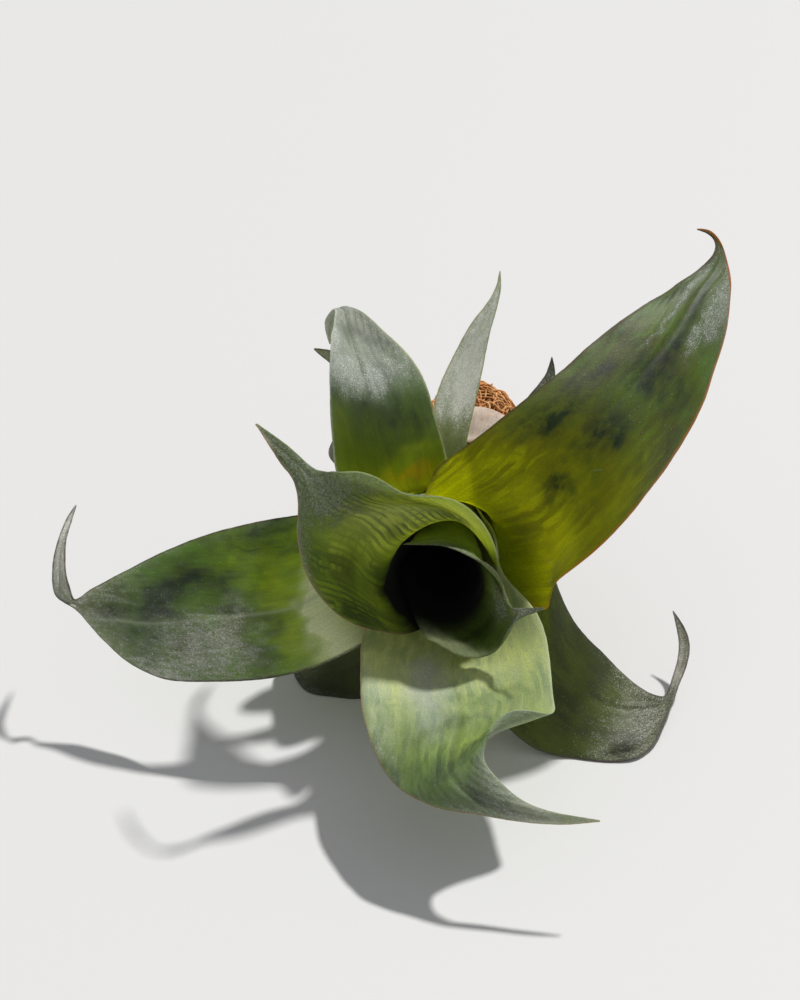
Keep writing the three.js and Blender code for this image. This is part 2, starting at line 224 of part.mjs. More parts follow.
    [[9.09, 36.41, 29.59], [4.48, 35.77, 32.83], [1.21, 35.8, 37.47], [-0.26, 36.45, 42.56], [0, 37.62, 47.77]],
    [[1.21, 40.65, 21.1], [-3.24, 40, 23.8], [-6.67, 40.04, 27.77], [-8.58, 40.69, 32.18], [-9.09, 41.86, 36.86]],
    [[-6.67, 46.71, 12.62], [-10.2, 46.16, 14.92], [-13.03, 46.11, 18.07], [-14.86, 46.51, 21.57], [-15.76, 47.32, 25.34]],
    [[-12.73, 53.38, 5.95], [-15.03, 52.88, 7.7], [-16.97, 52.77, 9.89], [-18.45, 53.04, 12.37], [-19.4, 53.68, 15.04]],
    [[-17.28, 59.44, 2.31], [-18.4, 59.21, 3.3], [-19.4, 59.14, 4.44], [-20.26, 59.21, 5.75], [-20.91, 59.44, 7.16]],
    [[-20.61, 64.89, 1.41], [-20.67, 64.89, 1.46], [-20.73, 64.89, 1.53], [-20.8, 64.89, 1.61], [-20.85, 64.89, 1.71]],
  ],
  back_right_leaf: [
    [[27.48, 39.86, 58.85], [30.42, 39.35, 55.22], [30.95, 39.27, 50.56], [28.89, 39.67, 46.35], [24.91, 40.4, 43.97]],
    [[31.5, 33.28, 60.15], [34.01, 32.85, 55.26], [34.25, 32.83, 49.75], [32.18, 33.23, 44.66], [28.18, 33.97, 40.94]],
    [[38.78, 36.41, 56.25], [41.24, 35.47, 52.37], [42.12, 35.2, 47.77], [41.09, 35.72, 42.74], [38.18, 37.01, 38.68]],
    [[47.57, 40.65, 55.04], [49.35, 39.71, 51.65], [50, 39.44, 47.77], [49.31, 39.96, 43.5], [47.27, 41.26, 39.89]],
    [[54.54, 47.32, 52.62], [55.63, 46.6, 49.55], [56.06, 46.41, 46.25], [55.79, 46.76, 42.96], [54.85, 47.62, 39.89]],
    [[59.39, 54.59, 46.86], [60.06, 54.1, 44.97], [60.3, 53.98, 42.92], [60.07, 54.25, 40.86], [59.39, 54.89, 38.98]],
    [[62.72, 61.26, 40.5], [62.79, 61.26, 40.35], [62.81, 61.26, 40.19], [62.79, 61.26, 40.03], [62.72, 61.26, 39.89]],
  ],
  small_tip_leaf: [
    [[20.88, 42.28, 60.01], [24.14, 41.69, 60.27], [27.24, 41.13, 59.21], [29.69, 40.7, 57.01], [31.1, 40.46, 54.01]],
    [[25.91, 37.04, 64.47], [28.39, 36.59, 63.46], [30.45, 36.54, 61.68], [31.86, 36.91, 59.37], [32.68, 37.39, 56.95]],
    [[28.98, 36.41, 64.49], [31.7, 35.43, 63.66], [34.69, 35.2, 63.49], [37.64, 35.74, 64.01], [40.15, 37.01, 65.18]],
    [[35.81, 40.04, 73.27], [37.68, 39.54, 72.53], [39.73, 39.44, 72.23], [41.98, 39.81, 72.46], [43.97, 40.65, 73.24]],
    [[41.53, 44.29, 79.48], [42.81, 43.95, 78.88], [44.25, 43.98, 78.61], [45.75, 44.41, 78.73], [47, 45.2, 79.26]],
    [[45.25, 48.53, 82.5], [45.84, 48.48, 82.27], [46.47, 48.53, 82.15], [47.29, 48.76, 82.2], [48, 49.14, 82.48]],
    [[46.99, 52.17, 86.28], [47.05, 52.17, 86.28], [47.11, 52.17, 86.28], [47.17, 52.17, 86.28], [47.23, 52.17, 86.28]],
  ],
  papery_sheath: [
    [[17.85, 44.04, 59.17], [21.49, 43.37, 60.9], [25.52, 42.64, 60.82], [29.1, 42, 58.97], [31.53, 41.58, 55.7]],
    [[17.41, 46.3, 59.67], [21.52, 45.55, 61.76], [26.11, 44.72, 61.72], [30.19, 44, 59.56], [32.86, 43.53, 55.76]],
    [[16.68, 48.62, 60.72], [21.47, 47.74, 63.22], [26.86, 46.77, 63.2], [31.63, 45.92, 60.65], [34.7, 45.39, 56.15]],
    [[16.2, 51.2, 62.16], [21.63, 50.21, 64.91], [27.7, 49.11, 64.86], [33.08, 48.15, 62.01], [36.61, 47.54, 56.99]],
    [[16.73, 53.29, 63.96], [22.45, 52.24, 66.37], [28.64, 51.13, 66.1], [34.14, 50.15, 63.19], [37.91, 49.49, 58.19]],
    [[18.86, 54.77, 66.01], [24.2, 53.8, 67.41], [29.69, 52.81, 66.78], [34.59, 51.94, 64.19], [38.25, 51.3, 59.98]],
  ],
  old_sheath_left: [
    [[19.85, 43.44, 43.29], [16.44, 44.04, 45.72], [14.42, 44.39, 49.41], [14.2, 44.41, 53.63], [15.82, 44.1, 57.52]],
    [[20.13, 46.21, 41.76], [15.95, 46.95, 44.58], [13.48, 47.38, 49.01], [13.26, 47.39, 54.1], [15.33, 46.99, 58.73]],
    [[19.67, 49.75, 38.79], [14.27, 50.71, 42.42], [11.07, 51.26, 48.15], [10.78, 51.28, 54.72], [13.46, 50.76, 60.71]],
    [[18.02, 53.5, 36.81], [12.52, 54.47, 41.01], [9.18, 55.05, 47.13], [8.57, 55.12, 54.1], [10.81, 54.69, 60.71]],
    [[15.33, 57.74, 36.49], [10.9, 58.52, 40.76], [8.08, 59, 46.26], [7.17, 59.14, 52.39], [8.28, 58.91, 58.49]],
    [[12.11, 61.13, 38.29], [9.59, 61.57, 41.56], [7.8, 61.87, 45.29], [6.81, 62.03, 49.32], [6.66, 62.04, 53.46]],
  ],
  old_sheath_right: [
    [[32.22, 41.47, 53.27], [31.92, 41.54, 49.35], [30.01, 41.9, 45.92], [26.86, 42.48, 43.64], [23.06, 43.17, 42.92]],
    [[33.63, 43.72, 53.78], [33.4, 43.78, 49.22], [31.23, 44.19, 45.22], [27.55, 44.87, 42.6], [23.11, 45.67, 41.89]],
    [[36.38, 46.35, 54.19], [36.1, 46.42, 48.61], [33.44, 46.93, 43.72], [28.93, 47.76, 40.51], [23.5, 48.74, 39.64]],
    [[39.24, 49.28, 52.81], [38.4, 49.46, 47.07], [35.42, 50.02, 42.13], [30.78, 50.87, 38.76], [25.21, 51.89, 37.5]],
    [[41.06, 52.1, 49.27], [39.58, 52.39, 44.77], [36.87, 52.89, 40.9], [33.17, 53.58, 38.01], [28.79, 54.37, 36.35]],
    [[40.5, 54.41, 44.51], [39.15, 54.67, 42.28], [37.48, 54.98, 40.29], [35.53, 55.34, 38.59], [33.33, 55.74, 37.22]],
  ],
  dry_leaf: [
    [[17.24, 44.78, 60.71], [15.6, 45.08, 59.2], [14.3, 45.32, 57.39], [13.4, 45.5, 55.33], [12.94, 45.59, 53.13]],
    [[10.91, 40.04, 68.37], [8.44, 40.2, 65.41], [6.66, 40.65, 62.01], [5.81, 41.18, 59.17], [5.45, 41.86, 56.25]],
    [[4.24, 40.04, 72.01], [2.05, 40.5, 68.85], [0.6, 41.26, 65.34], [0.01, 42.09, 62.32], [0, 43.07, 59.28]],
    [[-4.25, 38.83, 72.01], [-6.18, 39.21, 68.83], [-7.28, 40.04, 65.34], [-7.5, 40.87, 62.89], [-7.28, 41.86, 60.5]],
    [[-12.92, 37.01, 70.23], [-14.55, 37.35, 66.44], [-15.15, 37.92, 62.39], [-14.74, 38.62, 58.65], [-13.44, 39.44, 55.14]],
    [[-18.05, 36.11, 67.94], [-18.63, 36.18, 65.15], [-18.75, 36.41, 62.31], [-18.25, 36.91, 58.87], [-17.06, 37.62, 55.64]],
    [[-19.9, 35.8, 64.89], [-20.27, 35.74, 63.56], [-20.37, 35.8, 62.17], [-20.09, 36.03, 60.52], [-19.41, 36.41, 59.03]],
  ],
};
const SMALL = new Set(["right_hidden_leaf", "back_left_leaf", "under_leaf", "silver_leaf", "back_under_leaf", "back_right_leaf", "small_tip_leaf"]);
const DRY = new Set(["papery_sheath", "old_sheath_left", "old_sheath_right", "dry_leaf"]);

// ---- colours of the plain model ----
const GREEN = { color: 0x4f6a2a, roughness: 0.5, metalness: 0 };
const SILVER = { color: 0x8fa08c, roughness: 0.55, metalness: 0 };
const PAPER = { color: 0xc9ad98, roughness: 0.9, metalness: 0 };
const FIBRE = { color: 0x9a6238, roughness: 0.95, metalness: 0 };
const WOOD = { color: 0xa89a6a, roughness: 0.8, metalness: 0 };

const wasm = await Module();
wasm.setup();

// Natural cubic spline through points (arrays of 3 numbers) at the given knots.
function spline(knots, points) {
  const n = knots.length;
  const second = points.map(() => [0, 0, 0]);
  for (let axis = 0; axis < 3; axis++) {
    const c = new Array(n).fill(0);
    const d = new Array(n).fill(0);
    for (let i = 1; i < n - 1; i++) {
      const h0 = knots[i] - knots[i - 1];
      const h1 = knots[i + 1] - knots[i];
      const rhs =
        6 *
        ((points[i + 1][axis] - points[i][axis]) / h1 -
          (points[i][axis] - points[i - 1][axis]) / h0);
      const m = 2 * (h0 + h1) - h0 * c[i - 1];
      c[i] = h1 / m;
      d[i] = (rhs - h0 * d[i - 1]) / m;
    }
    for (let i = n - 2; i > 0; i--)
      second[i][axis] = d[i] - c[i] * second[i + 1][axis];
  }
  return (t) => {
    let i = 0;
    while (i < n - 2 && t > knots[i + 1]) i++;
    const h = knots[i + 1] - knots[i];
    const a = (knots[i + 1] - t) / h;
    const b = (t - knots[i]) / h;
    return [0, 1, 2].map(
      (k) =>
        a * points[i][k] +
        b * points[i + 1][k] +
        (((a * a * a - a) * second[i][k] + (b * b * b - b) * second[i + 1][k]) *
          h *
          h) /
          6,
    );
  };
}

// Grid of points on a leaf's middle surface: rows from base to tip, columns from margin to margin.
function leafGrid(stations, cols, rows) {
  const dist = (p, q) => Math.hypot(p[0] - q[0], p[1] - q[1], p[2] - q[2]);
  const knots = [0];
  for (let i = 1; i < stations.length; i++) {
    const a = stations[i - 1];
    const b = stations[i];
    const step =
      0.5 * dist(a[2], b[2]) + 0.25 * (dist(a[0], b[0]) + dist(a[4], b[4]));
    knots.push(knots[i - 1] + Math.pow(Math.max(step, 0.3), 0.9));
  }
  const rails = [0, 1, 2, 3, 4].map((j) =>
    spline(
      knots,
      stations.map((s) => s[j]),
    ),
  );
  const grid = [];
  for (let i = 0; i <= rows; i++) {
    const t = (knots[knots.length - 1] * i) / rows;
    const across = spline(
      [-1, -0.5, 0, 0.5, 1],
      rails.map((r) => r(t)),
    );
    const row = [];
    for (let j = 0; j <= cols; j++)
      row.push(new THREE.Vector3(...across(-1 + (2 * j) / cols)));
    grid.push(row);
  }
  // A row narrower than the tip is drawn out straight to the tip's width.
  for (let i = 1; i <= rows; i++) {
    const row = grid[i];
    const width = row[0].distanceTo(row[cols]);
    if (width >= TIP_WIDTH) continue;
    const centre = row[cols / 2].clone();
    const way = grid[i - 1][cols].clone().sub(grid[i - 1][0]).normalize();
    for (let j = 0; j <= cols; j++)
      row[j].copy(centre).addScaledVector(way, (j / cols - 0.5) * TIP_WIDTH);
  }
  return grid;
}

// A closed thin body round a grid of points: thickness(u, v) with u -1..1 across, v 0..1 along.
// Where the leaf bends tighter than its own thickness, it is thinned so that it can't fold into itself.
function thinBody(grid, thickness) {
  const rows = grid.length;
  const cols = grid[0].length;
  let normals = grid.map((row, i) =>
    row.map((point, j) => {
      const along = grid[Math.min(i + 1, rows - 1)][j]
        .clone()
        .sub(grid[Math.max(i - 1, 0)][j]);
      const i2 = Math.min(i, rows - 2); // the last row is too narrow to give a direction
      const across = grid[i2][Math.min(j + 1, cols - 1)]
        .clone()
        .sub(grid[i2][Math.max(j - 1, 0)]);
      return across.cross(along).normalize();
    }),
  );
  const steps = [
    [0, 1],
    [1, 0],
    [1, 1],
    [1, -1],
  ];
  const inside = (i, j) => i >= 0 && i < rows && j >= 0 && j < cols;
  for (let pass = 0; pass < SMOOTHING; pass++)
    normals = normals.map((row, i) =>
      row.map((normal, j) => {
        const sum = normal.clone().multiplyScalar(2);
        for (const [di, dj] of [
          [0, 1],
          [1, 0],
          [0, -1],
          [-1, 0],
        ])
          if (inside(i + di, j + dj)) sum.add(normals[i + di][j + dj]);
        return sum.normalize();
      }),
    );
  const half = grid.map((row, i) =>
    row.map((_, j) => 0.5 * thickness(-1 + (2 * j) / (cols - 1), i / (rows - 1))),
  );
  for (let pass = 0; pass < 8; pass++)
    for (let i = 0; i < rows; i++)
      for (let j = 0; j < cols; j++)
        for (const [di, dj] of steps) {
          const i2 = i + di;
          const j2 = j + dj;
          if (!inside(i2, j2)) continue;
          const edge = grid[i2][j2].clone().sub(grid[i][j]);
          const lean = normals[i2][j2]
            .clone()
            .multiplyScalar(half[i2][j2])
            .addScaledVector(normals[i][j], -half[i][j])
            .dot(edge);
          if (edge.lengthSq() - Math.abs(lean) < 0.35 * edge.lengthSq()) {
            half[i][j] = Math.max(0.85 * half[i][j], LEAF_THICK_LEAST / 2);
            half[i2][j2] = Math.max(0.85 * half[i2][j2], LEAF_THICK_LEAST / 2);
          }
        }
  const top = [];
  const bottom = [];
  for (let i = 0; i < rows; i++)
    for (let j = 0; j < cols; j++) {
      top.push(grid[i][j].clone().addScaledVector(normals[i][j], half[i][j]));
      bottom.push(grid[i][j].clone().addScaledVector(normals[i][j], -half[i][j]));
    }
  const points = [...top, ...bottom];
  const B = rows * cols;
  const faces = [];
  const at = (i, j) => i * cols + j;
  const quad = (a, b, c, d) => faces.push(a, b, c, a, c, d);
  for (let i = 0; i < rows - 1; i++)
    for (let j = 0; j < cols - 1; j++) {
      quad(at(i, j), at(i, j + 1), at(i + 1, j + 1), at(i + 1, j));
      quad(B + at(i, j), B + at(i + 1, j), B + at(i + 1, j + 1), B + at(i, j + 1));
    }
  for (let i = 0; i < rows - 1; i++) {
    quad(at(i, 0), at(i + 1, 0), B + at(i + 1, 0), B + at(i, 0));
    quad(
      at(i + 1, cols - 1),
      at(i, cols - 1),
      B + at(i, cols - 1),
      B + at(i + 1, cols - 1),
    );
  }
  for (let j = 0; j < cols - 1; j++) {
    quad(at(0, j + 1), at(0, j), B + at(0, j), B + at(0, j + 1));
    quad(
      at(rows - 1, j),
      at(rows - 1, j + 1),
      B + at(rows - 1, j + 1),
      B + at(rows - 1, j),
    );
  }
  return indexed(points, faces);
}

function indexed(points, faces) {
  const g = new THREE.BufferGeometry();
  g.setAttribute(
    "position",
    new THREE.Float32BufferAttribute(
      points.flatMap((p) => [p.x, p.y, p.z]),
      3,
    ),
  );
  g.setIndex(faces);
  return g;
}

// ---- solids for cuts ----
function toSolid(geometry) {
  const g = geometry.clone();
  for (const name of Object.keys(g.attributes))
    if (name !== "position") g.deleteAttribute(name);
  const merged = mergeVertices(g, 1e-4);
  return new wasm.Manifold(
    new wasm.Mesh({
      numProp: 3,
      vertProperties: new Float32Array(merged.attributes.position.array),
      triVerts: new Uint32Array(merged.index.array),
    }),
  );
}

function toGeometry(solid) {
  let best = solid;
  const bodies = solid.decompose();
  if (bodies.length > 1)
    best = bodies.reduce((a, b) => (a.volume() > b.volume() ? a : b));
  const m = best.getMesh();
  const g = new THREE.BufferGeometry();
  g.setAttribute(
    "position",
    new THREE.BufferAttribute(new Float32Array(m.vertProperties), 3),
  );
  g.setIndex(new THREE.BufferAttribute(new Uint32Array(m.triVerts), 1));
  return g;
}

// ---- leaves ----
function leafThickness(name) {
  return (u, v) => {
    const mid =
      v < 0.3
        ? LEAF_THICK_BASE + ((LEAF_THICK_BLADE - LEAF_THICK_BASE) * v) / 0.3
        : LEAF_THICK_BLADE +
          (LEAF_THICK_MARGIN - LEAF_THICK_BLADE) * ((v - 0.3) / 0.7) ** 2;
    const dry = DRY.has(name);
    const m = dry ? LEAF_THICK_MARGIN : mid;
    return m + (LEAF_THICK_MARGIN - m) * u * u;
  };
}

const grids = {};
for (const [name, stations] of Object.entries(LEAVES)) {
  const small = SMALL.has(name) || DRY.has(name);
  grids[name] = leafGrid(
    stations,
    small ? SMALL_COLS : BLADE_COLS,
    DRY.has(name) ? 6 : small ? SMALL_ROWS : BLADE_ROWS,
  );
}
const geometries = {};
for (const name of Object.keys(LEAVES))
  geometries[name] = thinBody(grids[name], leafThickness(name));

// ---- stem: a short blunt cone on the axis ----
const axis = AXIS_MOUTH.clone().sub(AXIS_BACK).normalize();
function stemGeometry(extra) {
  const sunk = 9;
  const profile = [new THREE.Vector2(0, -sunk - extra)];
  profile.push(new THREE.Vector2(STEM_RADIUS * 0.8 + extra, -sunk - extra));
  const steps = 9;
  for (let i = 0; i < steps; i++) {
    const s = (i / steps) * 0.985;
    profile.push(
      new THREE.Vector2(
        STEM_RADIUS * Math.sqrt(1 - s * s) + extra,
        STEM_LENGTH * s,
      ),
    );
  }
  profile.push(new THREE.Vector2(0, STEM_LENGTH + extra));
  const g = new THREE.LatheGeometry(profile, 16);
  // the lathe turns about +Y, so turn +Y on to the axis
  g.applyQuaternion(
    new THREE.Quaternion().setFromUnitVectors(new THREE.Vector3(0, 1, 0), axis),
  );
  g.translate(AXIS_BACK.x, AXIS_BACK.y, AXIS_BACK.z);
  return g;
}
geometries.stem = stemGeometry(0);

// ---- root ball: a lumpy ellipsoid of roots and fibre, with the stem's end sunk in it ----
const BALL_CENTRE = new THREE.Vector3(23.63, 63.68, 50.8);
function ballGeometry(extra) {
  const g = new THREE.SphereGeometry(1, 22, 14);
  g.rotateX(Math.PI / 2);
  const p = g.attributes.position;
  const v = new THREE.Vector3();
  for (let i = 0; i < p.count; i++) {
    v.fromBufferAttribute(p, i);
    const lump =
      1 +
      0.025 * Math.sin(5.1 * v.x + 2.3 * v.z + 0.7) * Math.cos(3.9 * v.y) +
      0.02 * Math.sin(7.3 * v.z - 3.1 * v.x);
    const f = Math.abs(v.z);
    p.setXYZ(
      i,
      v.x * (ROOTBALL_RADIUS * lump * (1 - 0.04 * f) + extra),
      v.y * (ROOTBALL_RADIUS * lump * (1 - 0.04 * f) + extra),
      v.z * (ROOTBALL_HALF_LENGTH * lump + extra),
    );
  }
  // the ball's long way is its own Z: lay it along the stem's axis
  g.applyQuaternion(
    new THREE.Quaternion().setFromUnitVectors(new THREE.Vector3(0, 0, 1), axis),
  );
  g.translate(BALL_CENTRE.x, BALL_CENTRE.y, BALL_CENTRE.z);
  return g;
}
geometries.root_ball = toGeometry(
  toSolid(ballGeometry(0)).subtract(toSolid(stemGeometry(GAP))),
);

// ---- roots: wiry tubes out of the back of the root ball ----
const ROOTS = {
  root_1: [[25.45, 78.23, 48.37], [29.09, 83.07, 45.34], [34.54, 85.5, 39.89], [38.78, 84.29, 33.83], [40, 80.65, 28.98]],
  root_2: [[20.6, 78.83, 45.34], [15.75, 83.68, 42.31], [9.09, 85.5, 37.47], [3.03, 83.68, 31.41], [0, 80.04, 25.34]],
  root_3: [[24.24, 77.62, 41.1], [22.42, 82.47, 35.65], [17.57, 83.68, 29.59], [15.75, 81.26, 24.13], [17.57, 78.23, 19.89]],
  root_4: [[30.91, 76.41, 45.34], [36.36, 80.04, 42.31], [41.81, 80.65, 36.86], [45.45, 77.62, 30.19]],
};
for (const [name, way] of Object.entries(ROOTS)) {
  const curve = new THREE.CatmullRomCurve3(
    way.map((p) => new THREE.Vector3(...p)),
  );
  const section = new THREE.Shape();
  for (let k = 0; k < 6; k++) {
    const a = (k * Math.PI) / 3;
    const x = ROOT_RADIUS * Math.cos(a);
    const y = ROOT_RADIUS * Math.sin(a);
    if (k === 0) section.moveTo(x, y);
    else section.lineTo(x, y);
  }
  section.closePath();
  geometries[name] = toGeometry(
    toSolid(
      new THREE.ExtrudeGeometry(section, {
        steps: 12,
        bevelEnabled: false,
        extrudePath: curve,
      }),
    ).subtract(toSolid(ballGeometry(GAP))),
  );
}

// ---- the plant ----
const group = new THREE.Group();
function add(name, look) {
  const mesh = new THREE.Mesh(
    geometries[name],
    new THREE.MeshStandardMaterial(look),
  );
  mesh.name = name;
  group.add(mesh);
}
for (const name of Object.keys(LEAVES))
  add(name, DRY.has(name) ? PAPER : name === "silver_leaf" ? SILVER : GREEN);
add("stem", WOOD);
add("root_ball", FIBRE);
for (const name of Object.keys(ROOTS)) add(name, FIBRE);

export default group;
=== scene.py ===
"""The looks of a young tank bromeliad with its root ball, lying on its side.

Every leaf is one closed thin skin with a rounded margin, a midrib and a gentle swell of its own.
Its material is procedural: yellow-green windows in a darker net, dark blue-green blotches, and a
silver scurf of fine pale scales that thickens towards the tip. Light and shade are also painted into the
colour in places: painted shade inside the funnel and in folds, painted sheen, sunlit patches and glow.
"""

import math
import random

import bpy
import numpy as np
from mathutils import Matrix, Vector, noise


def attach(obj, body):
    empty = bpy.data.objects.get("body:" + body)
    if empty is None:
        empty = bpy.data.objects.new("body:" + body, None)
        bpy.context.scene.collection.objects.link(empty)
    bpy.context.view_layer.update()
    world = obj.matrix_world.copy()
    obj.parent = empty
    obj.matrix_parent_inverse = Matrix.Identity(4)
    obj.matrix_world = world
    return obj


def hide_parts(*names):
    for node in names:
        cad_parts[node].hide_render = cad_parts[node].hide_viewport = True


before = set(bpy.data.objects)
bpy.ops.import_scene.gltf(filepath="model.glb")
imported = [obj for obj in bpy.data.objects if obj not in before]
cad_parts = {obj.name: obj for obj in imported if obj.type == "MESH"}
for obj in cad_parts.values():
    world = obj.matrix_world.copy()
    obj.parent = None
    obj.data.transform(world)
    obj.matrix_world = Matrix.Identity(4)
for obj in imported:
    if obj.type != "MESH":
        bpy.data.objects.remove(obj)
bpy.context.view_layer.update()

MM = 0.001

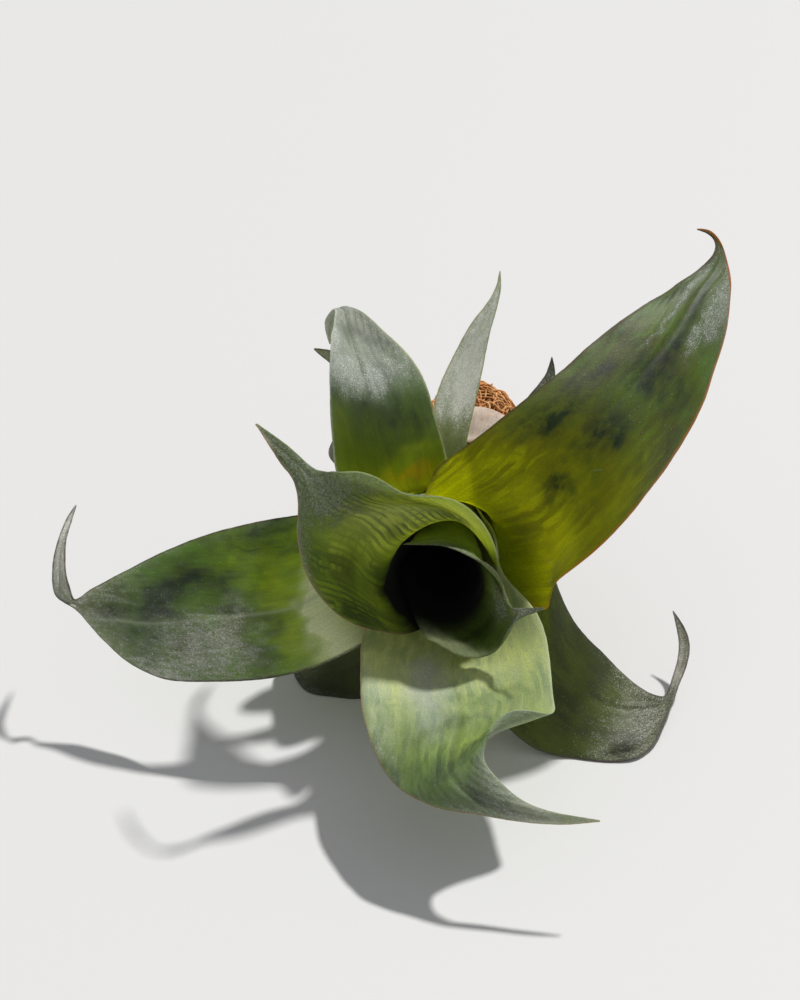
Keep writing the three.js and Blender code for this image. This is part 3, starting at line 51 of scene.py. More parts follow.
# ---------------------------------------------------------------- leaf stations, millimetres
# Each row holds five points across the leaf, from its left margin to its right one,
# looking at the upper face with the tip up; rows run from base to tip.
LEAVES = {
    "heart_leaf": [
        [(15.3, 17.76, 53.48), (19.8, 16.94, 55.49), (22.35, 16.5, 51.22), (18.52, 17.2, 48.09), (14.97, 17.83, 51.55)],
        [(11.91, 9.74, 54.68), (19.11, 8.43, 57.57), (23.05, 7.75, 50.78), (17.08, 8.85, 45.78), (11.27, 9.87, 50.99)],
        [(6.39, 1.49, 57.17), (18.68, -0.75, 60.51), (24.08, -1.67, 50.27), (15.57, -0.1, 42.51), (5.14, 1.75, 49.92)],
        [(4.06, -6.73, 59.68), (18.79, -9.4, 62.58), (25.21, -10.5, 49.75), (14.88, -8.58, 39.93), (2, -6.3, 47.77)],
        [(3.79, -9.35, 60.9), (18.31, -11.47, 62.34), (25.28, -16.02, 50.87), (19.57, -21.89, 41.78), (7.52, -22.99, 39.97)],
        [(13.75, -12.38, 62.41), (22.87, -13.2, 59.72), (27.78, -18.74, 50.43), (22.7, -24.33, 40.97), (10.93, -26.02, 38.73)],
        [(21.06, -16.32, 62.13), (26.84, -15.13, 55.94), (29.98, -21.77, 49.52), (26.05, -26.36, 40.92), (16.62, -29.05, 37.13)],
        [(27.29, -18.44, 59.46), (29.79, -18.11, 53.38), (31.59, -24.5, 49.11), (29.13, -28.54, 42.24), (23.11, -31.47, 37.26)],
        [(30.15, -20.86, 55.26), (31.3, -22.08, 52.04), (32.64, -26.62, 49.32), (31.63, -29.73, 44.75), (28.71, -31.77, 40.42)],
        [(31, -23.59, 51.28), (32.72, -25.73, 50.97), (33.41, -28.14, 49.79), (32.85, -30.28, 47.94), (31.13, -31.47, 45.95)],
        [(34.77, -27.83, 52.23), (35.12, -28.73, 52.29), (35.26, -29.65, 52.03), (35.19, -30.34, 51.6), (34.95, -30.86, 51.02)],
        [(38.53, -30.26, 54.28), (38.59, -30.57, 54.12), (38.65, -30.86, 53.93), (38.72, -31.18, 53.7), (38.78, -31.47, 53.44)],
        [(41.33, -32.08, 55.79), (41.42, -32.08, 55.71), (41.48, -32.08, 55.61), (41.5, -32.08, 55.51), (41.48, -32.08, 55.4)],
    ],
    "funnel_leaf": [
        [(21.38, 19.15, 47.55), (15.31, 20.24, 48.87), (15.52, 20.17, 55.17), (21.67, 19.06, 56.05), (23.59, 18.74, 50.05)],
        [(19.9, 11.43, 44.13), (11.01, 13.02, 47.6), (11.84, 12.82, 57.22), (21.17, 11.13, 59.07), (25.5, 10.39, 50.46)],
        [(16.09, -2.63, 37.97), (4.33, 2.22, 46.2), (7.84, 4.91, 59.45), (20.16, 5.45, 61.53), (26.53, 5.88, 52.17)],
        [(11.06, -12.8, 36.21), (-0.48, -7.07, 46.45), (4.14, -2.44, 61.53), (18.62, -0.75, 64.29), (27.61, -1.1, 54.8)],
        [(3.51, -20.56, 37.69), (-4, -15.8, 48.82), (0.06, -9.05, 60.68), (16.76, -5.98, 67.52), (29.49, -9.05, 52.82)],
        [(-5.1, -22.68, 40.1), (-12.63, -17.17, 54.27), (-6.75, -10.26, 68.6), (12.63, -5.41, 70.39), (27.81, -9.65, 62.18)],
        [(-15.05, -23.59, 45.53), (-19.79, -18.26, 59.98), (-13.77, -11.47, 73.29), (4.07, -3.59, 71.56), (20.59, -6.02, 71.52)],
        [(-23.95, -22.38, 57.11), (-24.39, -17.66, 68.15), (-18.77, -12.08, 77.17), (-3.06, -4.2, 74.77), (11.75, -4.5, 74.28)],
        [(-27.41, -19.35, 69.93), (-26.17, -15.9, 76.55), (-22.05, -12.08, 81.62), (-9.84, -5.11, 79.2), (2.06, -5.41, 76.3)],
        [(-27.28, -16.32, 79.47), (-26.06, -13.86, 82.56), (-23.68, -11.47, 84.95), (-16.51, -7.53, 84.12), (-9.49, -6.93, 84.38)],
        [(-28.39, -12.68, 85.1), (-27.4, -11.65, 86.63), (-25.89, -10.56, 87.54), (-23.15, -9.35, 86.89), (-20.4, -8.44, 85.59)],
        [(-31.52, -9.05, 88.03), (-30.74, -8.59, 89.27), (-29.54, -8.14, 90.12), (-28.32, -7.8, 90.45), (-27.04, -7.53, 90.39)],
        [(-35.97, -1.77, 90.76), (-35.43, -1.41, 90.94), (-34.86, -1.17, 91.2), (-34.04, -1.04, 91.67), (-33.28, -1.17, 92.21)],
        [(-39.85, 7.92, 90.82), (-40.06, 8.22, 90.63), (-39.8, 8.53, 90.59), (-39.7, 8.55, 90.62), (-39.6, 8.53, 90.66)],
    ],
    "front_leaf": [
        [(21.72, 20.89, 56.9), (24.84, 20.36, 51.42), (20.84, 21.1, 46.57), (14.99, 22.15, 48.73), (14.99, 22.12, 55.06)],
        [(24.28, 10.57, 59.01), (27.06, 10.11, 49.48), (20.21, 11.38, 42.4), (10.79, 13.07, 45.05), (8.5, 13.44, 54.71)],
        [(26.43, 7.72, 57.43), (27.94, 4.11, 47.21), (19.62, 2.27, 38.49), (7.21, 3.27, 40.51), (1.78, 4.19, 52.05)],
        [(28.93, 1.12, 55.76), (28.8, -3.42, 44.24), (19.05, -6.85, 34.49), (4.49, -7.3, 35.73), (-4.23, -6.4, 47.51)],
        [(31.11, -6.93, 48.71), (27.18, -12.41, 38.43), (18.09, -16.93, 31.49), (3.87, -19.47, 29.97), (-9.21, -18.14, 36.14)],
        [(39.16, -17.53, 44.81), (29.51, -24.11, 36.02), (16.43, -28.14, 30.89), (3.01, -29.08, 30.06), (-9.98, -27.23, 33.1)],
        [(43.22, -31.17, 39.93), (30.9, -37.19, 34.99), (17.04, -40.26, 31.67), (3.48, -40.27, 30.24), (-9.87, -37.53, 30.51)],
        [(43.88, -47.83, 36.18), (30.88, -50.37, 33.98), (17.65, -51.47, 31.98), (4.48, -51.12, 30.22), (-8.6, -49.35, 28.71)],
        [(43.02, -53.89, 35.49), (29.82, -57.65, 33.66), (16.38, -59.96, 31.27), (5.45, -60.74, 28.96), (-5.43, -60.56, 26.33)],
        [(35.37, -55.71, 38.47), (25.72, -62.34, 35.11), (15.15, -66.93, 31.2), (7.15, -68.88, 28.12), (-0.98, -69.65, 24.9)],
        [(29.22, -58.14, 38.37), (22.84, -66.06, 34.59), (14.8, -71.77, 30.07), (9.63, -73.9, 27.25), (4.2, -75.11, 24.35)],
        [(25.27, -63.59, 35.51), (21.47, -70.4, 33.08), (16.91, -75.71, 28.9), (14.5, -77.64, 26.29), (12.05, -79.05, 23.4)],
        [(24.04, -69.65, 33.6), (22.15, -74.69, 31.65), (20.37, -78.74, 28.03), (19.66, -80.12, 25.97), (19.04, -81.17, 23.71)],
        [(26.61, -75.11, 31.97), (25.75, -78.5, 29.99), (25.98, -81.17, 26.98), (26.54, -82.11, 25.17), (27.37, -82.68, 23.29)],
        [(33.51, -80.56, 28.24), (33.81, -82.1, 27.33), (34.27, -83.29, 26.04), (34.8, -83.97, 24.61), (35.4, -84.2, 23.06)],
        [(42.79, -84.2, 26.7), (43.06, -84.72, 26.17), (43.32, -85.11, 25.55), (43.66, -85.41, 24.54), (43.93, -85.41, 23.47)],
        [(54.79, -86.02, 25.56), (54.8, -86.02, 25.43), (54.81, -86.02, 25.3), (54.81, -86.02, 25.18), (54.82, -86.02, 25.05)],
    ],
    "upper_right_leaf": [
        [(13.84, 24.19, 51.17), (16.82, 23.62, 57.18), (23.43, 22.43, 56.68), (25.51, 22.09, 50.29), (20.49, 23.02, 45.89)],
        [(7.71, 15.42, 54.87), (14.71, 14.13, 62.23), (24.64, 12.34, 60.46), (28.75, 11.65, 51.1), (23.41, 12.65, 42.41)],
        [(3.75, 6.87, 61.17), (14.23, 4.95, 67.57), (26.05, 2.83, 64.35), (31.99, 1.81, 53.48), (28.42, 2.51, 41.59)],
        [(8.44, 3.98, 69.06), (19.66, 2.51, 69.58), (30.06, 0.04, 65.83), (40.72, -4.63, 53.67), (42.43, -9.05, 37.52)],
        [(11.58, 6.11, 76.36), (26.25, 4.82, 76.91), (38.92, 1.26, 70.26), (46.05, -3.64, 58.13), (45.43, -8.44, 44.03)],
        [(19.02, 8.23, 82.22), (32.71, 6.86, 81.89), (44.33, 3.68, 75.23), (51.26, -0.95, 62.66), (50.09, -5.41, 48.3)],
        [(28.59, 13.98, 87.04), (40.69, 12.57, 85.92), (51.1, 9.74, 80.17), (59.07, 4.95, 67.91), (59.25, 0.04, 53.32)],
        [(38.89, 21.86, 91.58), (50.01, 20.42, 90.58), (59.75, 17.62, 85.7), (68.04, 12.65, 74.84), (69.59, 7.32, 61.4)],
        [(49.41, 30.95, 95.49), (59.49, 29.74, 94.52), (68.41, 27.32, 90.19), (76.52, 22.71, 80.1), (78.34, 17.62, 67.45)],
        [(60.18, 41.56, 99.66), (68.94, 40.54, 98.41), (76.74, 38.53, 94.62), (84.56, 34.47, 85.82), (87.31, 29.74, 74.64)],
        [(72.88, 53.98, 102.29), (79.3, 53.1, 101.41), (85.13, 51.56, 98.88), (91.81, 48.23, 92.35), (94.75, 44.29, 83.73)],
        [(84.56, 66.71, 102.56), (88.62, 66.52, 103.3), (92.64, 65.8, 102.73), (98.33, 63.51, 98.81), (100.44, 60.65, 92.45)],
        [(92.85, 74.59, 104.37), (95.14, 74.77, 104.02), (97.36, 74.59, 103.33), (100.21, 73.7, 101.81), (102.41, 72.17, 99.8)],
        [(97.54, 80.04, 106.92), (98.58, 80.52, 106.69), (99.65, 80.65, 106.23), (100.86, 80.3, 105.41), (101.65, 79.44, 104.46)],
        [(97.86, 83.07, 109.09), (98.29, 83.52, 108.95), (98.88, 83.68, 108.75), (99.47, 83.52, 108.55), (99.91, 83.07, 108.39)],
        [(95.46, 84.89, 110.88), (95.68, 85.08, 111.04), (95.93, 85.2, 111.24), (96.15, 85.23, 111.41), (96.36, 85.2, 111.58)],
        [(92.55, 85.5, 111.66), (92.53, 85.5, 111.75), (92.53, 85.5, 111.84), (92.56, 85.5, 111.93), (92.61, 85.5, 112.01)],
    ],
    "left_leaf": [
        [(24.62, 24.11, 47.31), (17.89, 25.33, 45.79), (13.69, 26.06, 51.35), (16.87, 25.46, 57.56), (23.75, 24.22, 57.25)],
        [(22.86, 13.99, 40.85), (12.19, 15.91, 41.61), (6.52, 16.89, 50.82), (10.52, 16.12, 60.9), (20.89, 14.24, 63.53)],
        [(12.02, 5.2, 34.03), (2.97, 6.81, 39.55), (-1.5, 7.57, 49.26), (0.14, 7.22, 59.85), (7.33, 5.89, 67.69)],
        [(6.08, -2.02, 30.58), (-2.93, -0.43, 37.6), (-7.47, 0.34, 48.17), (-6.39, 0.09, 59.65), (0.03, -1.12, 69.16)],
        [(-10.1, -19.35, 32.31), (-15.72, -13.61, 37.94), (-18.3, -7.23, 44.94), (-15.97, 1.8, 56.04), (-6.95, 8.23, 65.4)],
        [(-21.95, -23.59, 28.3), (-26.22, -17.12, 33.97), (-28.5, -10.26, 40.3), (-27.96, -0.07, 50.2), (-22.84, 9.14, 59.75)],
        [(-34.99, -25.41, 25.31), (-37.79, -18.43, 31.57), (-39.28, -11.47, 38.29), (-39.09, -2.03, 48.24), (-36.26, 6.71, 58.42)],
        [(-46.63, -25.41, 23.82), (-48.89, -18.77, 31), (-50.02, -12.08, 38.39), (-49.83, -3.79, 47.75), (-47.88, 4.29, 57.1)],
        [(-58.52, -22.99, 21.63), (-60.24, -17.22, 30.05), (-60.89, -10.86, 38.19), (-60.43, -3.8, 46.15), (-58.83, 3.68, 53.57)],
        [(-69.16, -19.05, 19.9), (-71.16, -14.43, 28.97), (-71.65, -8.44, 37.42), (-70.95, -2.96, 43.37), (-69.33, 3.07, 48.56)],
        [(-78.36, -13.89, 21.18), (-80.3, -10.42, 29.17), (-80.49, -5.41, 36.56), (-79.75, -1.79, 40.51), (-78.37, 2.17, 43.92)],
        [(-86.03, -8.44, 24.92), (-87.3, -6.23, 30.28), (-87.31, -2.99, 35.26), (-86.81, -0.95, 37.58), (-85.96, 1.26, 39.63)],
        [(-91.71, -4.5, 29.71), (-92.23, -3.3, 32.17), (-92.23, -1.77, 34.51), (-92.02, -0.89, 35.62), (-91.67, 0.04, 36.65)],
        [(-95.93, -1.77, 32.65), (-95.88, -1.12, 32.85), (-95.73, -0.56, 33.21), (-95.53, -0.2, 33.6), (-95.29, 0.04, 34.05)],
        [(-100.15, 0.04, 34.42), (-99.26, 0.42, 34.91), (-98.36, 0.65, 35.45), (-97.33, 0.74, 36.09), (-96.32, 0.65, 36.75)],
        [(-101.97, 3.68, 37.43), (-100.87, 3.71, 37.97), (-99.79, 3.68, 38.54), (-98.6, 3.57, 39.2), (-97.42, 3.38, 39.88)],
        [(-102.17, 9.14, 41.14), (-101.23, 8.98, 41.44), (-100.3, 8.83, 41.74), (-99.36, 8.68, 42.03), (-98.42, 8.53, 42.33)],
        [(-101.14, 15.2, 44.47), (-100.51, 15.04, 44.58), (-99.88, 14.89, 44.69), (-99.26, 14.74, 44.8), (-98.63, 14.59, 44.91)],
        [(-99.58, 22.47, 46.63), (-99.19, 22.47, 46.44), (-98.79, 22.47, 46.26), (-98.39, 22.47, 46.07), (-97.98, 22.47, 45.89)],
        [(-97.45, 30.35, 46.98), (-97.39, 30.5, 46.88), (-97.35, 30.65, 46.77), (-97.3, 30.81, 46.62), (-97.26, 30.95, 46.44)],
    ],
    "lower_right_leaf": [
        [(20.16, 26.71, 58.8), (26.08, 25.66, 55.67), (26.49, 25.61, 48.91), (21, 26.62, 45.07), (14.93, 27.71, 47.88)],
        [(23.6, 15.29, 63.5), (30.29, 14.12, 56.23), (29.78, 14.25, 46.29), (22.4, 15.62, 39.77), (12.65, 17.37, 40.64)],
        [(29.48, 4.67, 65.12), (34.76, 3.77, 55.04), (33.21, 4.1, 43.72), (25.41, 5.55, 35.51), (14.34, 7.56, 33.52)],
        [(38.78, 1.26, 62.01), (40.1, -0.33, 51.19), (37.57, -2.99, 40.8), (29.97, -7.1, 30.82), (18.78, -11.47, 25.34)],
        [(46.06, -1.77, 45.34), (45.27, -5.87, 37.54), (43.03, -10.26, 30.19), (36.88, -17.3, 20.23), (27.88, -24.2, 12.62)],
        [(53.2, -2.99, 27.21), (50.01, -10.26, 24.42), (47.05, -16.93, 20.24), (43.51, -24.76, 12.38), (40.82, -30.51, 2.62)],
        [(61.19, -2.38, 16.84), (59.38, -10.15, 14.5), (57.43, -17.53, 11.2), (55.04, -25.36, 6.33), (52.54, -32.37, 0.37)],
        [(68.26, -2.52, 8.07), (67.15, -8.74, 6.16), (65.98, -15, 4.44), (64.11, -24.42, 2.2), (62.1, -33.91, 0.37)],
        [(74.05, -7.14, 5.65), (73.51, -10.55, 4.33), (73, -14.03, 3.22), (71.77, -23.19, 1.36), (70.68, -32.55, 0.92)],
        [(78.12, -9.33, 4.74), (78.03, -10.96, 3.92), (77.91, -12.64, 3.22), (77.29, -19.6, 1.64), (76.41, -26.69, 2.01)],
        [(80.88, -8.97, 4.44), (81.13, -9.98, 4.08), (81.32, -11.04, 3.83), (81.46, -14.23, 3.69), (80.98, -17.3, 4.44)],
        [(82.36, -6.57, 5.95), (82.84, -6.93, 5.95), (83.34, -7.27, 5.95), (83.9, -7.64, 5.95), (84.48, -7.98, 5.95)],
        [(84.84, 0.44, 8.37), (85.49, 0.19, 8.35), (86.15, -0.03, 8.37), (86.96, -0.25, 8.49), (87.76, -0.41, 8.68)],
        [(86.24, 7.1, 10.8), (87, 7.14, 10.77), (87.76, 7.1, 10.8), (88.59, 6.96, 10.91), (89.38, 6.72, 11.1)],
        [(85.98, 12.38, 13.22), (86.59, 12.43, 13.19), (87.21, 12.38, 13.22), (87.81, 12.24, 13.34), (88.37, 12, 13.53)],
        [(84.98, 17.62, 16.13), (85.02, 17.62, 16.13), (85.07, 17.62, 16.13), (85.17, 17.62, 16.1), (85.26, 17.62, 16.05)],
    ],
    "upper_left_leaf": [
        [(15.48, 29.46, 47.13), (13.87, 29.72, 53.67), (18.3, 28.89, 58.68), (24.88, 27.71, 57.74), (27.79, 27.21, 51.68)],
        [(4.94, 19.65, 48.91), (6.84, 19.88, 58.61), (14.58, 19.68, 64.21), (23.53, 20.54, 62.76), (28.68, 22.1, 56.67)],
        [(-1.76, 11.58, 57.68), (2.92, 11.62, 64.92), (10.59, 12.38, 68.61), (18.78, 14.6, 67.7), (24.91, 17.2, 63.9)],
        [(-15.43, 10.95, 68.12), (-8.14, 9.07, 66.93), (-0.54, 8.53, 66.96), (8.38, 9.71, 68.59), (16.37, 12.77, 71.82)],
        [(-18.11, 13.98, 78.03), (-10.84, 12.03, 76.26), (-3.14, 11.56, 75.81), (5.6, 12.89, 76.94), (13.42, 16.11, 79.75)],
        [(-18.78, 17.92, 86.54), (-12.29, 15.9, 85.23), (-5.44, 15.2, 84.52), (3.26, 16.26, 84.53), (11.38, 19.44, 85.56)],
        [(-19.04, 22.47, 94.96), (-13.69, 20.79, 93.62), (-8.04, 20.04, 92.74), (0.75, 20.77, 92.36), (9.04, 23.68, 93.17)],
        [(-19, 30.35, 100.3), (-14.97, 29.19, 98.93), (-10.71, 28.53, 98.01), (-2.88, 28.63, 97.54), (4.7, 30.35, 98.6)],
        [(-18.44, 39.44, 103.32), (-16.05, 38.72, 102), (-13.46, 38.23, 100.98), (-7.3, 37.95, 99.93), (-1.14, 38.83, 100.62)],
        [(-18.06, 48.53, 103.07), (-16.61, 48.2, 102.5), (-15.1, 47.92, 102.06), (-11.11, 47.44, 101.59), (-7.09, 47.32, 102.07)],
        [(-18.52, 54.29, 101.59), (-17.51, 54.69, 101.65), (-16.44, 54.89, 101.76), (-14.54, 54.75, 102.06), (-12.83, 53.98, 102.46)],
        [(-20.31, 57.62, 98.09), (-19.68, 58, 98.36), (-18.96, 58.23, 98.6), (-18.21, 58.3, 98.8), (-17.45, 58.23, 98.95)],
        [(-21.5, 59.74, 94.04), (-20.83, 59.93, 94.17), (-20.14, 60.04, 94.22), (-19.45, 60.08, 94.17), (-18.78, 60.04, 94.04)],
        [(-21.32, 61.26, 89.27), (-20.89, 61.26, 89.27), (-20.47, 61.26, 89.27), (-20.06, 61.26, 89.27), (-19.65, 61.26, 89.27)],
        [(-20.35, 61.86, 85), (-20.27, 61.86, 85), (-20.19, 61.86, 85), (-20.12, 61.86, 85), (-20.04, 61.86, 85)],
    ],
    "lower_left_leaf": [
        [(27.95, 29.04, 49.39), (22.95, 29.97, 44.74), (16.34, 31.15, 46.23), (13.74, 31.59, 52.59), (17.38, 30.91, 58.4)],
        [(28.51, 19.13, 41.54), (19.58, 20.76, 37.96), (10.52, 22.38, 41.22), (5.78, 23.19, 49.71), (7.69, 22.8, 59.28)],
        [(24.87, 11.2, 34.15), (14.9, 13, 33), (5.76, 14.63, 37.23), (0.06, 15.62, 45.64), (-0.56, 15.68, 55.82)],
        [(20.6, 4.89, 28.98), (8.7, 5.92, 27.26), (-2.43, 7.32, 31.71), (-9.87, 8.72, 41.22), (-11.52, 9.74, 53.22)],
        [(9.09, -1.17, 15.65), (-1.42, 1.04, 17.52), (-10.31, 4.29, 22.92), (-16.76, 8.51, 31.99), (-18.79, 12.77, 42.92)],
        [(-1.82, -4.8, 4.13), (-10.21, -1.68, 8.45), (-16.97, 2.47, 14.44), (-22.26, 8.27, 23.04), (-24.25, 14.59, 32.62)],
        [(-10.91, -5.41, 0.37), (-16.93, -2.12, 3.91), (-21.82, 1.86, 8.37), (-26.39, 8.3, 15.86), (-27.88, 15.2, 24.13)],
        [(-20.61, -4.2, 0.37), (-23.37, -0.88, 2.03), (-25.76, 2.47, 4.13), (-29.17, 8.75, 9.28), (-30.91, 14.59, 15.65)],
        [(-27.28, -1.77, 0.5), (-28.15, 1.63, 1.18), (-29.09, 4.89, 2.31), (-30.88, 10.19, 5.36), (-32.73, 14.59, 9.59)],
        [(-30.91, 4.89, 0.8), (-31.14, 7.37, 1.6), (-31.52, 9.74, 2.62), (-32.41, 13.28, 4.66), (-33.64, 16.41, 7.16)],
        [(-32.12, 13.38, 2.01), (-32.2, 15.22, 2.72), (-32.43, 17.01, 3.53), (-32.92, 19.2, 4.68), (-33.64, 21.26, 5.95)],
        [(-31.82, 23.07, 4.44), (-31.79, 23.99, 4.88), (-31.82, 24.89, 5.34), (-31.93, 25.97, 5.94), (-32.12, 27.01, 6.56)],
        [(-30.31, 32.17, 9.59), (-30.31, 32.48, 9.72), (-30.31, 32.77, 9.89), (-30.31, 33.1, 10.17), (-30.31, 33.38, 10.5)],
        [(-28.49, 37.01, 15.04), (-28.49, 37.07, 15.04), (-28.49, 37.14, 15.04), (-28.49, 37.2, 15.04), (-28.49, 37.26, 15.04)],
    ],
    "right_hidden_leaf": [
        [(18.91, 32.47, 59.2), (24.79, 31.41, 58.78), (28.59, 30.75, 54.19), (27.97, 30.89, 48.23), (23.33, 31.75, 44.54)],
        [(21.05, 24.05, 64.59), (27.85, 22.84, 61.8), (31.95, 22.13, 55.63), (31.95, 22.17, 48.19), (27.86, 22.94, 42.02)],
        [(29.09, 20.04, 71.41), (31.72, 17.31, 65.58), (34.54, 16.41, 59.28), (37.05, 17.19, 53.66), (39.39, 19.44, 48.37)],
        [(38.18, 23.68, 75.65), (40.51, 21.67, 70.33), (43.03, 21.26, 64.74), (45.2, 22.2, 60.03), (47.27, 24.29, 55.65)],
        [(46.66, 32.17, 79.28), (48.73, 30.65, 75.15), (50.91, 30.35, 70.8), (52.78, 31.1, 67.04), (54.54, 32.77, 63.53)],
        [(53.33, 42.47, 79.89), (54.66, 41.53, 77.22), (56.06, 41.26, 74.44), (57.3, 41.6, 71.96), (58.48, 42.47, 69.59)],
        [(58.18, 52.17, 78.07), (58.77, 51.71, 76.89), (59.39, 51.56, 75.65), (60.01, 51.71, 74.41), (60.6, 52.17, 73.22)],
        [(60.91, 59.44, 74.74), (60.95, 59.44, 74.68), (61, 59.44, 74.62), (61.05, 59.44, 74.53), (61.09, 59.44, 74.44)],
    ],
    "back_left_leaf": [
        [(16.33, 34.85, 46.31), (14.05, 35.24, 50.87), (15, 35.04, 55.88), (18.8, 34.34, 59.24), (23.82, 33.43, 59.5)],
        [(10.17, 29.8, 46.75), (9, 29.99, 52.34), (10.54, 29.68, 57.84), (14.45, 28.96, 61.95), (19.8, 27.98, 63.72)],
        [(-13.09, 26.11, 65.63), (-12.17, 25.07, 68.32), (-10.34, 24.89, 70.73), (-8.2, 25.49, 72.31), (-5.9, 26.71, 73.08)],
        [(-15.13, 30.95, 75.97), (-14.22, 30.04, 78.24), (-12.39, 30.04, 80.09), (-10.6, 30.72, 80.93), (-8.86, 31.86, 81.03)],
        [(-16.91, 37.01, 84.77), (-15.92, 36.43, 86.16), (-14.49, 36.41, 87.25), (-13.13, 36.84, 87.79), (-11.83, 37.62, 87.89)],
        [(-19.33, 42.47, 89.77), (-18.74, 42.38, 90.66), (-18.11, 42.47, 91.51), (-17.52, 42.7, 92.23), (-16.91, 43.07, 92.88)],
        [(-22.07, 45.2, 90.72), (-21.84, 45.15, 91.33), (-21.6, 45.2, 91.94), (-21.37, 45.31, 92.46), (-21.14, 45.5, 92.97)],
        [(-24.46, 46.41, 92.38), (-24.46, 46.41, 92.49), (-24.45, 46.41, 92.59), (-24.41, 46.41, 92.7), (-24.36, 46.41, 92.8)],
    ],
    "under_leaf": [
        [(29.81, 34.23, 53.08), (28.84, 34.43, 47.97), (24.97, 35.15, 44.55), (19.85, 36.07, 44.28), (15.65, 36.82, 47.27)],
        [(32.69, 27.57, 49.83), (30.22, 28.04, 44.31), (25.42, 28.93, 40.7), (19.5, 30, 39.91), (13.94, 30.99, 42.13)],
        [(40, 30.35, 37.47), (34.49, 30.17, 34.86), (28.48, 30.35, 33.83), (22.86, 30.82, 34.35), (17.57, 31.56, 36.25)],
        [(40.6, 35.8, 25.34), (35.88, 35.27, 23.68), (30.91, 35.2, 22.92), (25.97, 35.58, 23.08), (21.21, 36.41, 24.13)],
        [(40.6, 43.07, 13.83), (36.75, 42.55, 12.63), (32.72, 42.47, 12.01), (28.58, 42.85, 12), (24.54, 43.68, 12.62)],
        [(39.39, 50.95, 5.65), (36.25, 50.66, 4.86), (33.03, 50.65, 4.44), (29.66, 50.95, 4.39), (26.36, 51.56, 4.74)],
        [(37.27, 58.23, 1.41), (34.87, 58.15, 0.91), (32.42, 58.23, 0.71), (29.97, 58.46, 0.81), (27.57, 58.83, 1.22)],
        [(34.54, 64.89, 1.41), (33.07, 65.04, 0.85), (31.51, 65.2, 0.62), (29.97, 65.35, 0.7), (28.48, 65.5, 1.1)],
        [(30.54, 71.56, 2.13), (30.43, 71.65, 2.05), (30.3, 71.74, 2.01), (30.18, 71.81, 2.02), (30.06, 71.86, 2.07)],
    ],
    "silver_leaf": [
        [(14.98, 38.75, 55.15), (18.58, 38.08, 59.15), (23.86, 37.12, 59.95), (28.46, 36.3, 57.2), (30.33, 35.99, 52.12)],
        [(14.63, 34.16, 61.6), (17.64, 32.99, 63.77), (21.42, 32.3, 64.38), (25.17, 31.94, 63.53), (28.23, 32.32, 61.19)],
        [(11.99, 29.74, 64.61), (14.46, 29.01, 64.15), (17.07, 28.83, 64.14), (19.78, 29.28, 64.66), (22.16, 30.35, 65.65)],
        [(11.79, 30.95, 71.7), (14.01, 30.24, 70.94), (16.41, 30.04, 70.52), (18.88, 30.39, 70.46), (21.2, 31.26, 70.79)],
        [(11.45, 33.38, 80.06), (14.12, 32.47, 80), (16.92, 32.17, 79.78), (20.02, 32.55, 79.37), (22.91, 33.68, 78.8)],
        [(13.64, 36.41, 87.6), (16.21, 35.48, 87.93), (18.94, 35.2, 88.01), (22.08, 35.69, 87.78), (24.92, 37.01, 87.22)],
        [(18.01, 39.44, 96.82), (20.03, 38.88, 96.63), (22.13, 38.83, 96.5), (24.5, 39.42, 96.42), (26.61, 40.65, 96.43)],
        [(23.02, 44.29, 103.86), (24.33, 43.97, 103.81), (25.67, 43.98, 103.7), (27.31, 44.49, 103.46), (28.68, 45.5, 103.14)],
        [(27.18, 47.92, 107.86), (27.92, 47.86, 107.9), (28.65, 47.92, 107.86), (29.49, 48.15, 107.73), (30.25, 48.53, 107.51)],
        [(29.56, 50.95, 111.21), (29.93, 50.92, 111.23), (30.3, 50.95, 111.21), (30.7, 51.07, 111.14), (31.05, 51.26, 111.03)],
        [(30.67, 53.98, 114.9), (30.71, 53.98, 114.9), (30.76, 53.98, 114.9), (30.8, 53.98, 114.9), (30.85, 53.98, 114.9)],
    ],
    "back_under_leaf": [
        [(24.76, 38.88, 44.05), (19.77, 39.78, 44.32), (15.89, 40.47, 47.51), (14.59, 40.68, 52.41), (16.38, 40.33, 57.15)],
        [(20.94, 33.44, 39.25), (15.33, 34.44, 40.93), (11.09, 35.19, 45.02), (9.13, 35.51, 50.63), (9.89, 35.35, 56.52)],
        [(9.09, 36.41, 29.59), (4.48, 35.77, 32.83), (1.21, 35.8, 37.47), (-0.26, 36.45, 42.56), (0, 37.62, 47.77)],
        [(1.21, 40.65, 21.1), (-3.24, 40, 23.8), (-6.67, 40.04, 27.77), (-8.58, 40.69, 32.18), (-9.09, 41.86, 36.86)],
        [(-6.67, 46.71, 12.62), (-10.2, 46.16, 14.92), (-13.03, 46.11, 18.07), (-14.86, 46.51, 21.57), (-15.76, 47.32, 25.34)],
        [(-12.73, 53.38, 5.95), (-15.03, 52.88, 7.7), (-16.97, 52.77, 9.89), (-18.45, 53.04, 12.37), (-19.4, 53.68, 15.04)],
        [(-17.28, 59.44, 2.31), (-18.4, 59.21, 3.3), (-19.4, 59.14, 4.44), (-20.26, 59.21, 5.75), (-20.91, 59.44, 7.16)],
        [(-20.61, 64.89, 1.41), (-20.67, 64.89, 1.46), (-20.73, 64.89, 1.53), (-20.8, 64.89, 1.61), (-20.85, 64.89, 1.71)],
    ],
    "back_right_leaf": [
        [(27.48, 39.86, 58.85), (30.42, 39.35, 55.22), (30.95, 39.27, 50.56), (28.89, 39.67, 46.35), (24.91, 40.4, 43.97)],
        [(31.5, 33.28, 60.15), (34.01, 32.85, 55.26), (34.25, 32.83, 49.75), (32.18, 33.23, 44.66), (28.18, 33.97, 40.94)],
